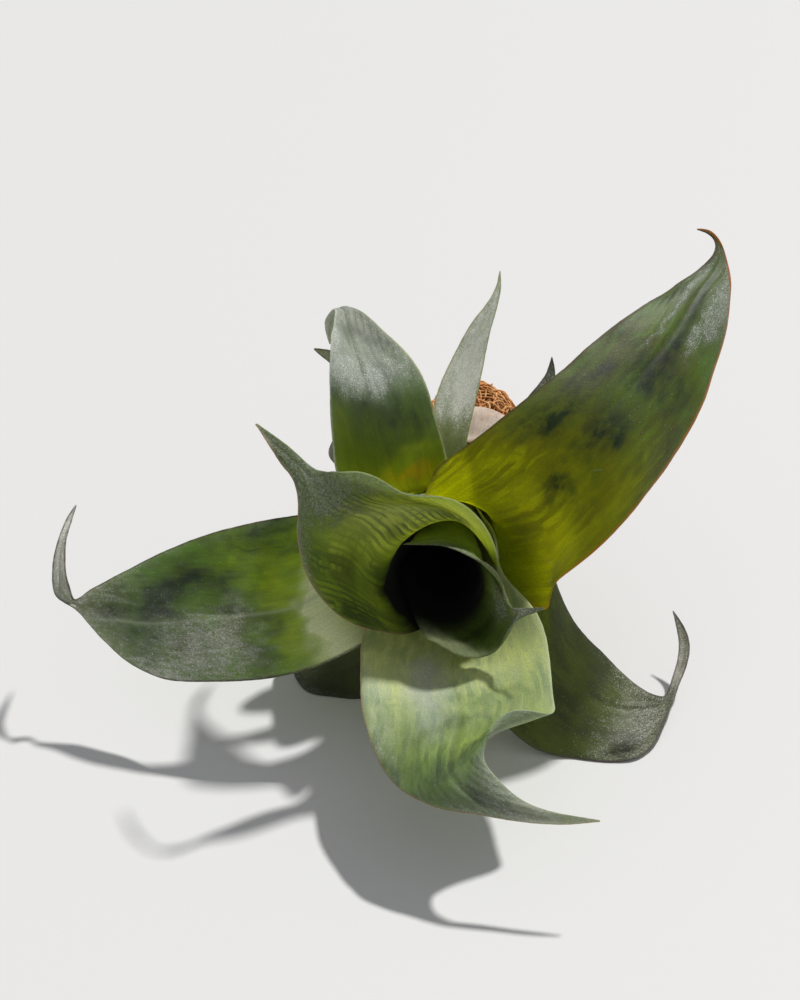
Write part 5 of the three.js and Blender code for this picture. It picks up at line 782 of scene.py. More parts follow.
    # fine lines along the leaf and a fine grain
    lines = t.noise(t.vector(t.mul(x, 2.3), t.mul(y, 0.05), seed + 21.0), 1.0, 2.0, 0.55)
    grain = t.noise(place, 3.4, 2.0, 0.6)
    tone = t.add(t.mul(lines, m.get("vein", 0.35)), t.mul(grain, 0.9))
    tone = t.step(tone, 0.4, 1.0, (0.74, 1.26))
    tissue = t.mix(1.0, tissue, t.vector(tone, tone, tone), "MULTIPLY")
    # a line along the midrib: darker green by default; on left_leaf a pale painted highlight where the groove catches
    # the sun
    middle = t.sub(x, t.step(v, 0.42, 0.68, m.get("midrib_at", (0.0, 0.0))))
    midline = t.math("DIVIDE", 1.0, t.add(1.0, t.math("POWER", t.math("ABSOLUTE", t.mul(middle, 2.4)), 2.0)))
    tissue = t.mix(t.mul(midline, m.get("midrib", 0.25)), tissue, m.get("midrib_colour", lin(110, 126, 70)))

    # under face: greyer and paler
    under = t.step(side, 0.3, -0.3)
    tissue = t.mix(t.mul(under, m.get("under", 0.35)), tissue, m.get("under_colour", lin(112, 124, 88)))

    # silver scurf: pale scales a third of a millimetre across over a thin grey film; where the silver spots raise it,
    # it is partly a painted sheen
    scales = t.cells(t.vector(x, t.mul(y, 0.8), seed), m.get("scale_size", 2.7), "F1", 1.0)
    srgb = t.new("ShaderNodeSeparateColor")
    t.put(srgb.inputs[0], scales.outputs["Color"])
    clump = t.noise(t.vector(t.mul(x, 1.1), t.mul(y, 0.45), seed + 6.0), 0.8, 3.0, 0.6)
    amount = t.add(silver, t.mul(under, m.get("under_scurf", 0.3)))
    amount = t.math("MULTIPLY", amount, t.step(clump, 0.25, 0.75, (0.5, 1.3)), clamp=True)
    shown = t.step(t.sub(srgb.outputs[0], t.sub(1.0, t.mul(t.mul(amount, amount), 0.7))), -0.08, 0.12)
    dot = t.step(scales.outputs["Distance"], 0.62, 0.25)
    dust = t.noise(t.vector(t.mul(x, 1.15), t.mul(y, 0.8), seed + 40.0), 2.9, 2.0, 0.7)
    dust = t.mul(t.step(t.add(dust, t.mul(amount, 0.16)), 0.58, 0.74), t.step(amount, 0.05, 0.6))
    scurf = t.math("MAXIMUM", t.mul(shown, dot), t.mul(dust, 0.9))
    scurf = t.math("MULTIPLY", scurf, 1.0, clamp=True)
    tissue = t.mix(t.mul(amount, m.get("film", 0.6)), tissue, m.get("film_colour", lin(120, 128, 118)))
    bright = t.step(srgb.outputs[1], 0.1, 1.0, (0.55, 1.3))
    scale_colour = t.mix(1.0, m.get("scale_colour", lin(186, 196, 182)), t.vector(bright, bright, bright), "MULTIPLY")
    colour = t.mix(t.mul(scurf, m.get("scurf_strength", 0.7)), tissue, scale_colour)

    # margins: a thin line of another colour
    near = t.add(edge, t.mul(t.sub(t.noise(place, 1.1, 2.0), 0.5), 0.5))
    rim = t.step(near, m.get("rim_width", 0.7), 0.1)
    rim_colour = t.mix(t.step(u, -0.1, 0.1), m["rim_left"], m["rim_right"])
    rim = t.mul(rim, t.step(v, 0.1, 0.25))
    rim_tone = t.step(t.noise(t.vector(t.mul(u, 3.0), y, seed), 0.35, 3.0), 0.3, 0.7, (0.6, 1.15))
    rim = t.math("MULTIPLY", rim, rim_tone, clamp=True)
    colour = t.mix(t.mul(rim, m.get("rim", 0.85)), colour, rim_colour)

    # painted shade: the bottom of the funnel, where no light reaches, is painted near-black
    below = t.step(u, -0.35, 0.0, (m.get("shade_under", 0.0), m.get("shade_under_right", m.get("shade_under", 0.0))))
    painted_deep_shade = t.math("MULTIPLY", shade, t.step(side, -0.9, -0.6, (below, 1.0)), clamp=True)
    colour = t.mix(t.mul(painted_deep_shade, 0.995), colour, lin(3, 5, 2))

    rough = t.add(m.get("rough", 0.44), t.mul(t.noise(place, 2.2, 2.0), 0.2))
    rough = t.add(rough, t.mul(painted_deep_shade, 0.45))
    height = t.add(t.mul(lines, 0.45), t.mul(scurf, 0.6))
    height = t.add(height, t.mul(grain, 0.5))
    height = t.add(height, t.mul(t.noise(place, 1.2, 3.0, 0.6), 0.8))
    normal = t.bump(height, m.get("bump", 0.6), 0.00014)

    # light that comes through: the tissue's own yellow-green, taken up once on the way
    tip = t.step(vn, *m.get("glow_v", (0.25, 0.7)))
    glow = t.mix(t.mul(tip, 0.9), m["glow"], m.get("glow_tip", lin(96, 122, 60)))
    glow = t.mix(t.math("MULTIPLY", warm, 1.0, clamp=True), glow, m.get("glow_warm", lin(236, 230, 6)))
    glow = t.mix(t.mul(net, m.get("glow_net", 0.8)), glow, m["glow_deep"])
    glow = t.mix(blotch_and_shade, glow, m.get("glow_dark", lin(44, 62, 30)))
    glow = t.mix(1.0, glow, t.vector(tone, tone, tone), "MULTIPLY")
    glow = t.mix(t.mul(amount, 0.5), glow, m.get("glow_scurf", lin(70, 78, 62)))
    glow = t.mix(t.mul(scurf, m.get("glow_scales", 0.0)), glow, (0.97, 0.98, 0.95))
    glow = t.mix(t.mul(rim, 0.7), glow, rim_colour)
    glow = t.mix(painted_deep_shade, glow, (0.0, 0.0, 0.0))
    back = t.new("ShaderNodeNewGeometry").outputs["Backfacing"]
    glow = t.mix(back, glow, (0.97, 0.97, 0.94))
    share = t.step(v, 0.33, 0.55, (m.get("share", 0.5), m.get("share_tip", 0.25)))
    return t.surface(
        colour, rough, normal, translucent=glow, share=t.add(t.mul(back, t.sub(1.0, share)), share),
        Specular_IOR_Level=m.get("specular", 0.55), Sheen_Weight=m.get("sheen", 0.06), Sheen_Roughness=0.45,
    )


YG = lin(168, 182, 50)  # yellow-green window near the base
GR = lin(96, 124, 44)
DG = lin(58, 78, 40)
BG = lin(38, 50, 42)  # dark blue-green blotch


def young(seed, **more):
    m = dict(
        seed=seed,
        window=[(0.0, lin(190, 196, 110)), (0.3, YG), (0.6, lin(150, 172, 84)), (0.85, lin(96, 112, 78)), (1.0, lin(90, 100, 70))],
        wall=[(0.0, lin(150, 160, 80)), (0.3, lin(74, 96, 36)), (0.6, lin(76, 96, 56)), (0.85, lin(60, 72, 54)), (1.0, lin(66, 72, 56))],
        dark=lin(50, 66, 44), glow=lin(214, 226, 40), glow_deep=lin(110, 140, 24),
        rim_left=lin(170, 136, 112), rim_right=lin(170, 176, 110),
    )
    m.update(more)
    return m


def green(seed, **more):
    m = dict(
        seed=seed,
        window=[(0.0, lin(180, 190, 60)), (0.25, lin(150, 168, 16)), (0.42, lin(130, 158, 14)), (0.65, lin(92, 136, 34)), (0.85, lin(86, 104, 66)), (1.0, lin(104, 104, 92))],
        wall=[(0.0, lin(110, 116, 30)), (0.25, lin(72, 78, 8)), (0.42, lin(46, 58, 14)), (0.65, lin(42, 60, 26)), (0.85, lin(58, 70, 46)), (1.0, lin(88, 88, 80))],
        dark=lin(34, 44, 34), glow=lin(250, 255, 6), glow_deep=lin(170, 174, 0), glow_tip=lin(62, 92, 16), glow_v=(0.22, 0.42),
        warm=lin(196, 204, 10), glow_warm=lin(244, 250, 4),
        rim_left=lin(64, 44, 34), rim_right=lin(176, 96, 50), share=0.68, share_tip=0.3,
    )
    m.update(more)
    return m


def deep(seed, **more):
    m = dict(
        seed=seed,
        window=[(0.0, lin(130, 140, 60)), (0.3, lin(80, 92, 22)), (0.6, lin(72, 84, 30)), (0.85, lin(92, 94, 76)), (1.0, lin(124, 118, 114))],
        wall=[(0.0, lin(100, 104, 40)), (0.3, lin(48, 58, 14)), (0.6, lin(46, 56, 20)), (0.85, lin(64, 66, 54)), (1.0, lin(98, 92, 90))],
        dark=lin(32, 36, 24), glow=lin(130, 150, 14), glow_deep=lin(64, 78, 6), glow_tip=lin(60, 72, 22),
        rim_left=lin(92, 80, 80), rim_right=lin(92, 80, 80), share=0.35,
    )
    m.update(more)
    return m


def silver_look(seed, **more):
    m = dict(
        seed=seed,
        # window and wall are pale from v 0.45: partly silver scurf, partly painted direct sun; the darker base is
        # partly painted shade
        window=[(0.0, lin(110, 120, 60)), (0.25, lin(110, 126, 76)), (0.45, lin(216, 226, 206)), (0.8, lin(206, 220, 196)), (1.0, lin(170, 184, 130))],
        wall=[(0.0, lin(90, 100, 50)), (0.25, lin(86, 102, 60)), (0.45, lin(184, 200, 180)), (0.8, lin(180, 196, 170)), (1.0, lin(150, 166, 110))],
        dark=lin(70, 84, 66), glow=lin(120, 140, 60), glow_deep=lin(214, 226, 200), glow_tip=lin(250, 252, 240), glow_v=(0.2, 0.4), glow_net=0.3,
        rim_left=lin(170, 176, 110), rim_right=lin(146, 164, 70), share=0.8, share_tip=0.75, sheen=0.2, glow_scurf=lin(236, 240, 228),
    )
    m.update(more)
    return m


MEDIUM = (130, 40)
SMALL = (110, 30)
SPECS = {
    "heart_leaf": dict(
        slot="leaf_young", grid=(180, 72), wave=0.0, rib=0.15, scurf=(0.02, 1.0), scurf_v=(0.76, 0.88),
        # painted shade: the throat knots and the shade spots paint the dark inside of the tube
        throat_shade=((0.54, 0.50, 0.46, 0.45), (0.66, 0.60, 0.58, 0.57)), net=((0, 0.6), (0.5, 0.8), (0.7, 0.4), (0.8, 0.1)),
        scurf_and_sheen_spots=((-0.85, 0.64, 0.25, 0.14, 0.9), (0.0, 0.66, 0.25, 0.09, 0.9)),
        # painted light: the strong pale spot is the sunlit crescent on the lower lip
        painted_light_spots=((0.97, 0.60, 0.13, 0.10, 3.0),), shade_spots=((-0.85, 0.50, 0.35, 0.07, 1.6), (0.45, 0.60, 0.35, 0.05, 0.55)),
        look=young(
            1, cell=(2.0, 5.0), crisp=0.6, shade_under=0.1, shade_under_right=1.0, film=0.7, film_colour=lin(104, 104, 88), share=0.35, pale=lin(240, 255, 190), weave=0.6, specular=0.2, rough=0.6, under_colour=lin(116, 146, 8), under=0.7, under_scurf=0.0,
            # window and wall are darkest around v 0.5, deep in the tube: painted shade
            window=[(0.0, lin(120, 140, 20)), (0.5, lin(60, 86, 6)), (0.7, lin(60, 82, 14)), (0.84, lin(96, 104, 72)), (1.0, lin(110, 116, 84))],
            wall=[(0.0, lin(70, 90, 10)), (0.5, lin(26, 42, 2)), (0.7, lin(30, 44, 6)), (0.84, lin(62, 68, 44)), (1.0, lin(80, 84, 64))],
            rim_left=lin(120, 116, 96), rim_right=lin(120, 130, 90), rim=0.6,
        ),
    ),
    "funnel_leaf": dict(
        slot="leaf_young", grid=(200, 72), wave=0.1, rib=0.2, scurf=(0.0, 1.0), scurf_v=(0.50, 0.70),
        # painted shade: the throat knots and the shade spots paint the shade inside the funnel
        throat_shade=((0.27, 0.22, 0.06, 0.04), (0.37, 0.34, 0.24, 0.16)), net=((0, 0.6), (0.28, 1.0), (0.5, 1.0), (0.62, 0.6), (0.8, 0.05)),
        shade_spots=((-0.5, 0.27, 0.25, 0.05, 0.9), (-0.85, 0.40, 0.35, 0.09, 0.35), (-0.4, 0.42, 0.25, 0.05, 0.5)),
        scurf_and_sheen_spots=((0.0, 0.58, 0.22, 0.12, 0.9), (-0.95, 0.66, 0.3, 0.08, 0.8), (0.8, 0.72, 0.3, 0.05, 0.4)),
        # painted glow: the warm and pale spots paint light coming through the funnel's upper wall
        warm_glow_spots=((0.2, 0.37, 0.35, 0.08, 0.8), (0.3, 0.44, 0.3, 0.07, 1.2), (0.55, 0.46, 0.4, 0.12, 1.0), (-0.4, 0.46, 0.3, 0.05, 0.3), (-1.0, 0.58, 0.2, 0.08, 0.6)),
        painted_light_spots=((0.9, 0.50, 0.22, 0.16, 0.8), (0.28, 0.44, 0.3, 0.07, 0.95)),
        look=young(
            2, pale=lin(220, 236, 130), cell=(2.6, 6.0), crisp=0.35, soft=0.6, film=0.85, film_colour=lin(88, 90, 74), scurf_strength=0.85, share=0.5, share_tip=0.45, warm=lin(228, 244, 96), glow_warm=lin(244, 250, 70),
            bars=0.3, weave=1.0, pitch=2.2, rung=2.9, rungs=0.9, rows=(0.38, 0.5),
            window=[(0.0, lin(190, 196, 110)), (0.3, lin(156, 182, 20)), (0.5, lin(130, 164, 24)), (0.7, lin(96, 112, 60)), (1.0, lin(90, 100, 70))],
            wall=[(0.0, lin(150, 160, 80)), (0.3, lin(70, 92, 8)), (0.5, lin(52, 72, 8)), (0.7, lin(62, 74, 44)), (1.0, lin(66, 72, 56))],
            glow=lin(196, 222, 12), glow_deep=lin(84, 110, 4), glow_tip=lin(120, 150, 24), rim_left=lin(176, 140, 112), rim_right=lin(176, 190, 130),
        ),
    ),
    "front_leaf": dict(
        slot="leaf_young", grid=(190, 64), wave=0.2, rib=0.3, scurf=(0.04, 0.6), scurf_v=(0.62, 0.92),
        net=((0, 0.6), (0.3, 1.0), (0.66, 1.0), (0.8, 0.6), (0.92, 0.1)),
        # painted shade: the first two dark spots darken the fold near the tip. Painted sheen: the silver and pale spots
        # round u 0.3.
        blotch_and_shade_spots=(
            (-0.05, 0.785, 0.28, 0.045, 1.1), (0.4, 0.83, 0.4, 0.03, 1.0), (0.0, 0.53, 0.35, 0.022, 0.5), (-0.45, 0.63, 0.25, 0.05, 0.5), (0.15, 0.66, 0.35, 0.025, 0.5),
            (0.8, 0.62, 0.25, 0.03, 0.45), (0.75, 0.72, 0.2, 0.03, 0.5), (0.5, 0.57, 0.3, 0.02, 0.35), (-0.6, 0.50, 0.12, 0.05, 0.3),
        ),
        scurf_and_sheen_spots=((0.3, 0.42, 0.22, 0.09, 0.6), (0.3, 0.35, 0.12, 0.04, 0.6), (0.85, 0.56, 0.15, 0.05, 0.3)),
        painted_light_spots=((0.32, 0.42, 0.22, 0.09, 0.7), (0.3, 0.53, 0.14, 0.05, 0.3), (0.85, 0.48, 0.2, 0.07, 0.35), (0.32, 0.34, 0.2, 0.04, 0.5)),
        warm_glow_spots=((-0.75, 0.43, 0.25, 0.06, 0.5), (0.62, 0.44, 0.12, 0.05, 0.5), (-0.25, 0.62, 0.3, 0.04, 0.4), (0.0, 1.0, 3.0, 0.015, 1.5)),
        look=young(
            3, cell=(4.0, 7.5), crisp=0.45, soft=0.7, random=0.6, share=0.15, share_tip=0.15, film_colour=lin(196, 200, 186), rim_left=lin(176, 190, 146), rim_right=lin(160, 130, 96), rim=0.6,
            weave=0.95, pitch=3.8, rung=8.0, rungs=0.7, warm=lin(216, 232, 100), bars=0.6, vein=0.2,
            # window and wall are palest round v 0.3 to 0.42: painted light, lifting the stretch that lies in the
            # funnel's shadow
            window=[(0.0, lin(214, 220, 130)), (0.3, lin(236, 244, 158)), (0.42, lin(232, 242, 160)), (0.5, lin(214, 230, 140)), (0.58, lin(176, 204, 104)), (0.68, lin(136, 172, 82)), (0.8, lin(110, 134, 76)), (0.9, lin(176, 180, 150)), (1.0, lin(190, 200, 120))],
            wall=[(0.0, lin(170, 180, 100)), (0.3, lin(158, 176, 116)), (0.42, lin(182, 202, 146)), (0.5, lin(116, 148, 84)), (0.58, lin(84, 118, 56)), (0.68, lin(60, 92, 42)), (0.8, lin(58, 74, 42)), (0.9, lin(120, 124, 104)), (1.0, lin(140, 146, 100))],
            dark=lin(46, 62, 38), pale=lin(206, 218, 196), scale_colour=lin(206, 214, 200),
        ),
    ),
    "upper_right_leaf": dict(
        slot="leaf_green", grid=(190, 64), wave=0.3, scurf=(0.02, 0.28), scurf_v=(0.62, 0.98), blotch=0.35, blotch_v=(0.28, 0.42),
        net=((0, 0.8), (0.12, 0.3), (0.18, 0.6), (0.22, 1.0), (0.3, 1.1), (0.6, 1.1), (0.8, 0.5), (0.95, 0.1)),
        blotch_and_shade_spots=(
            (-0.55, 0.38, 0.4, 0.07, 0.8), (0.1, 0.29, 0.2, 0.035, 0.9), (0.1, 0.44, 0.25, 0.08, 0.85), (-0.6, 0.50, 0.4, 0.06, 0.7),
            (0.0, 0.58, 0.35, 0.06, 0.8), (0.08, 0.80, 0.10, 0.10, 0.9), (-0.85, 0.64, 0.15, 0.06, 0.5), (0.5, 0.60, 0.2, 0.04, 0.6), (0.5, 0.33, 0.2, 0.04, 0.4), (0.1, 0.68, 0.14, 0.07, 0.7), (-0.6, 0.78, 0.2, 0.06, 0.6),
        ),
        # painted sheen: the silver spots brighten the streaks near the tip, on top of the scurf
        scurf_and_sheen_spots=(
            (-0.25, 0.72, 0.05, 0.09, 1.1), (-0.36, 0.83, 0.12, 0.06, 0.9), (-0.75, 0.89, 0.35, 0.04, 0.3), (0.30, 0.70, 0.08, 0.05, 1.0), (0.45, 0.77, 0.18, 0.06, 1.2),
            (0.66, 0.84, 0.26, 0.055, 1.1), (0.1, 0.48, 0.4, 0.09, 0.15), (0.8, 0.24, 0.12, 0.03, 0.5),
        ),
        # painted glow: the warm spots paint the bright yellow of the backlit base
        warm_glow_spots=((0.1, 0.17, 1.0, 0.06, 0.9), (-0.7, 0.22, 0.5, 0.05, 0.9), (0.7, 0.19, 0.5, 0.04, 0.4), (0.68, 0.42, 0.2, 0.07, 0.5), (-0.3, 0.27, 0.5, 0.03, 0.5)),
        look=green(
            4, cell=(3.0, 8.0), crisp=0.35, soft=0.7, share=0.86, weave=1.0, pitch=3.8, rung=5.5, rungs=0.6, rows=(0.38, 0.52), glow_deep=lin(168, 170, 2), glow_net=0.95, vein=0.25, rim_width=1.9, rim=0.95, rim_left=lin(84, 66, 48), rim_right=lin(206, 112, 36), scars=((0.29, 0.37, 0.05, 0.0035, -3.57), (0.78, 0.216, 0.07, 0.005, 1.5), (0.6, 0.214, 0.05, 0.004, -2.0)), film_colour=lin(112, 124, 106), scale_colour=lin(226, 232, 224),
            # window and wall are bright yellow round v 0.25: painted glow of the backlit base
            window=[(0.0, lin(180, 190, 60)), (0.25, lin(204, 212, 40)), (0.42, lin(126, 160, 14)), (0.65, lin(86, 140, 24)), (0.85, lin(76, 104, 46)), (1.0, lin(104, 104, 92))],
            wall=[(0.0, lin(110, 116, 30)), (0.25, lin(132, 134, 20)), (0.34, lin(92, 102, 12)), (0.44, lin(46, 68, 14)), (0.65, lin(38, 60, 20)), (0.85, lin(48, 66, 34)), (1.0, lin(88, 88, 80))],
        ),
    ),
    "left_leaf": dict(
        slot="leaf_green", grid=(180, 64), wave=0.3, scurf=(0.04, 0.75), scurf_v=(0.56, 0.84), blotch=0.3,
        net=((0, 0.4), (0.3, 0.6), (0.42, 0.9), (0.5, 1.1), (0.7, 0.5), (0.8, 0.1)),
        blotch_and_shade_spots=(
            (0.45, 0.54, 0.25, 0.05, 0.9), (-0.1, 0.62, 0.4, 0.045, 0.95), (-0.8, 0.66, 0.4, 0.04, 0.6), (0.3, 0.60, 0.2, 0.04, 0.7), (-0.2, 0.71, 0.35, 0.03, 0.8),
            (0.95, 0.44, 0.25, 0.05, 0.8), (-0.15, 0.415, 0.12, 0.015, 0.8), (0.1, 0.49, 0.2, 0.03, 0.6), (0.45, 0.70, 0.2, 0.02, 0.5), (-0.6, 0.44, 0.15, 0.02, 0.4),
        ),
        # painted sheen: the silver spots brighten the lower half, on top of the scurf. Painted light: the pale spots
        # brighten the sunlit base.
        scurf_and_sheen_spots=((-0.62, 0.53, 0.40, 0.08, 0.95), (-0.2, 0.55, 0.30, 0.06, 0.4), (-0.9, 0.62, 0.2, 0.05, 0.6), (-0.1, 0.47, 0.3, 0.03, 0.4)),
        # painted glow: the warm spots paint yellow light coming through the base
        warm_glow_spots=((-0.55, 0.385, 0.4, 0.035, 1.0), (0.15, 0.41, 0.5, 0.035, 0.9), (0.6, 0.46, 0.3, 0.05, 0.6)),
        painted_light_spots=((-0.6, 0.30, 0.45, 0.05, 2.0), (0.0, 0.335, 0.35, 0.022, 1.6)),
        look=green(
            # painted highlight: the pale midrib colour
            5, cell=(3.6, 9.0), crisp=0.4, share=0.08, share_tip=0.15, rim_left=lin(74, 62, 58), rim_right=lin(84, 62, 60), midrib=0.6, midrib_colour=lin(176, 190, 156), midrib_at=(-0.5, -5.0),
            pale=lin(246, 255, 196), specular=0.45, bars=0.5, weave=0.6, pitch=3.4, rungs=0.3, vein=0.25, scurf_strength=0.5, film=0.8, warm=lin(176, 206, 14), glow_warm=lin(214, 236, 4),
            window=[(0.0, lin(220, 236, 130)), (0.3, lin(190, 228, 40)), (0.45, lin(130, 184, 18)), (0.65, lin(98, 152, 36)), (0.76, lin(120, 136, 60)), (0.84, lin(214, 208, 204)), (1.0, lin(222, 216, 214))],
            wall=[(0.0, lin(190, 206, 110)), (0.3, lin(136, 168, 20)), (0.45, lin(62, 98, 10)), (0.65, lin(52, 82, 26)), (0.76, lin(84, 92, 46)), (0.84, lin(150, 144, 138)), (1.0, lin(184, 178, 176))],
            film_colour=lin(176, 182, 164), scale_colour=lin(250, 250, 240),
        ),
    ),
    "lower_right_leaf": dict(
        # painted shade: the shade spot darkens the rolled fold at the lower edge
        slot="leaf_dark", grid=(180, 56), wave=0.3, scurf=(0.0, 1.0), scurf_v=(0.46, 0.80), blotch=0.4, shade_spots=((0.8, 0.66, 0.14, 0.035, 0.8),),
        blotch_and_shade_spots=((0.6, 0.68, 0.15, 0.04, 0.9), (-0.5, 0.42, 0.4, 0.05, 0.5), (0.4, 0.50, 0.3, 0.04, 0.5)),
        # painted light: the silver spot near the tip brightens a sunlit patch, on top of the scurf
        scurf_and_sheen_spots=((0.3, 0.73, 0.3, 0.03, 0.7),),
        look=deep(
            6, film=0.25, film_colour=lin(76, 80, 58), scale_colour=lin(206, 208, 188), vein=0.3, weave=0.5,
            window=[(0.0, lin(130, 140, 60)), (0.3, lin(112, 126, 16)), (0.6, lin(100, 116, 30)), (0.78, lin(96, 98, 70)), (0.84, lin(224, 218, 210)), (0.88, lin(190, 182, 176)), (0.95, lin(150, 140, 134)), (1.0, lin(150, 142, 138))],
            wall=[(0.0, lin(100, 104, 40)), (0.3, lin(66, 78, 6)), (0.6, lin(60, 74, 16)), (0.78, lin(72, 74, 52)), (0.84, lin(204, 198, 190)), (0.88, lin(160, 152, 146)), (0.95, lin(116, 108, 104)), (1.0, lin(120, 112, 110))],
        ),
    ),
    "upper_left_leaf": dict(
        slot="leaf_green", grid=(160, 52), wave=0.3, scurf=(0.0, 0.35), scurf_v=(0.50, 0.60), blotch=0.3,
        net=((0, 0.6), (0.25, 0.7), (0.4, 1.1), (0.5, 0.9), (0.6, 0.4)),
        blotch_and_shade_spots=((0.3, 0.47, 0.7, 0.05, 0.5), (0.0, 0.60, 0.06, 0.07, 1.2), (0.42, 0.60, 0.06, 0.07, 1.0), (0.75, 0.68, 0.3, 0.05, 0.4), (0.35, 0.74, 0.05, 0.05, 0.5), (-0.3, 0.50, 0.3, 0.02, 0.4)),
        # painted sheen: the silver spots brighten the band where the leaf bends over towards the sun
        scurf_and_sheen_spots=((-0.5, 0.57, 0.5, 0.05, 1.3), (0.2, 0.57, 0.14, 0.05, 1.0), (0.6, 0.60, 0.15, 0.04, 0.5), (-0.85, 0.66, 0.2, 0.05, 0.7)),
        # painted glow: the warm spots paint the orange-yellow glow at the base; the pale spots its yellow-green glow
        warm_glow_spots=((0.35, 0.335, 0.4, 0.018, 1.0), (0.3, 0.24, 0.8, 0.06, 0.7)),
        shade_spots=((0.2, 0.72, 0.6, 0.035, 0.35),),
        painted_light_spots=((0.55, 0.38, 0.35, 0.022, 0.9), (-0.8, 0.45, 0.25, 0.05, 0.3)),
        look=green(
            7, cell=(2.8, 8.0), crisp=0.4, share=0.72, share_tip=0.2, glow=lin(200, 230, 12), glow_deep=lin(132, 158, 2), scurf_strength=0.5, warm=lin(160, 130, 6), glow_warm=lin(232, 190, 2), rim_left=lin(196, 202, 190), rim_right=lin(176, 180, 130), specular=0.8, weave=0.6,
            pale=lin(196, 222, 30), film=0.75,
            window=[(0.0, lin(190, 200, 60)), (0.25, lin(176, 190, 16)), (0.42, lin(136, 168, 20)), (0.52, lin(100, 132, 50)), (0.64, lin(120, 134, 104)), (0.76, lin(112, 120, 102)), (0.84, lin(176, 174, 170)), (1.0, lin(160, 158, 150))],
            wall=[(0.0, lin(110, 116, 30)), (0.25, lin(92, 100, 8)), (0.42, lin(62, 84, 14)), (0.52, lin(52, 74, 30)), (0.64, lin(88, 102, 76)), (0.76, lin(90, 100, 82)), (0.84, lin(150, 148, 144)), (1.0, lin(134, 132, 124))],
            film_colour=lin(182, 192, 176), scale_colour=lin(246, 250, 244),
        ),
    ),
    "lower_left_leaf": dict(slot="leaf_dark", grid=(160, 56), wave=0.4, scurf=(0.0, 0.7), scurf_v=(0.5, 0.85), blotch=0.4, shade_spots=((-0.6, 0.62, 0.7, 0.1, 0.5),), look=deep(8)),
    "right_hidden_leaf": dict(slot="leaf_dark", grid=MEDIUM, wave=0.3, scurf=(0.1, 0.7), look=deep(9)),
    "back_left_leaf": dict(
        # painted light: the pale spot paints a glowing pale tip
        slot="leaf_dark", grid=MEDIUM, wave=0.3, scurf=(0.1, 0.7), painted_light_spots=((0, 0.9, 2.0, 0.1, 0.8),),
        look=deep(10, pale=lin(168, 176, 96), glow_tip=lin(170, 180, 80), share=0.5),
    ),
    "under_leaf": dict(slot="leaf_dark", grid=MEDIUM, wave=0.2, scurf=(0.1, 0.7), look=deep(11)),
    "silver_leaf": dict(
        slot="leaf_silver", grid=MEDIUM, wave=0.2, scurf=(0.1, 0.6), scurf_v=(0.32, 0.45), net=((0, 0.8), (0.35, 0.8), (0.5, 0.4), (0.8, 0.6), (1, 0.6)),
        scurf_and_sheen_spots=((0.25, 0.52, 0.45, 0.13, 0.9), (-0.1, 0.68, 0.4, 0.08, 0.5)),
        # painted shade: the last dark spot darkens the base
        blotch_and_shade_spots=((0.0, 0.92, 1.4, 0.12, 0.45), (-0.9, 0.62, 0.35, 0.3, 0.3), (0.9, 0.45, 0.2, 0.15, 0.2), (0.0, 0.31, 1.4, 0.05, 0.4)),
        look=silver_look(
            12, scale_colour=lin(236, 240, 232), film_colour=lin(206, 216, 200), glow_v=(0.34, 0.46), glow_scales=0.8, weave=0.4,
            glow=lin(96, 112, 36), glow_deep=lin(140, 154, 100), glow_tip=lin(190, 202, 180), dark=lin(80, 90, 60), glow_dark=lin(120, 130, 80),
        ),
    ),
    "back_under_leaf": dict(slot="leaf_dark", grid=MEDIUM, wave=0.2, scurf=(0.1, 0.7), look=deep(13)),
    "back_right_leaf": dict(slot="leaf_dark", grid=MEDIUM, wave=0.2, scurf=(0.1, 0.7), look=deep(14)),
    "small_tip_leaf": dict(slot="leaf_dark", grid=SMALL, wave=0.1, scurf=(0.15, 0.7), look=deep(15)),
}
for key, spec in SPECS.items():
    spec["seed"] = spec["look"]["seed"] * 17
    spec["material"] = leaf_material(key + "_look", spec["look"])
    leaf_object(key, spec)


# ---- dry papery sheaths
def paper_material(name, seed, light, deep_, fleck):
    t = Tree(name)
    x, y, edge = t.attribute("lf")
    u, v, side = t.attribute("ln")
    place = t.vector(x, y, seed * 7.1)
    fibre = t.noise(t.vector(t.mul(x, 2.2), t.mul(y, 0.16), seed), 1.0, 4.0, 0.65)
    cloud = t.noise(place, 0.3, 3.0, 0.6)
    base = t.mix(t.step(fibre, 0.35, 0.7), light, deep_)
    base = t.mix(t.mul(t.step(cloud, 0.45, 0.75), 0.7), base, deep_)
    spot = t.mul(t.step(t.noise(t.vector(t.mul(x, 0.9), t.mul(y, 0.5), seed + 8.0), 1.0, 4.0, 0.7), 0.56, 0.72), 0.55)
    base = t.mix(spot, base, fleck)
    rim = t.step(edge, 0.9, 0.1)
    base = t.mix(t.mul(rim, 0.6), base, fleck)
    base = t.mix(t.mul(t.step(v, 0.15, 0.0), 0.8), base, fleck)
    height = t.add(t.mul(fibre, 1.0), t.mul(t.noise(place, 2.0, 3.0), 0.5))
    return t.surface(
        base, t.add(0.6, t.mul(fibre, 0.25)), t.bump(height, 0.6, 0.00025),
        translucent=t.mix(0.5, base, lin(250, 236, 214)), share=0.06, Specular_IOR_Level=0.35,
    )


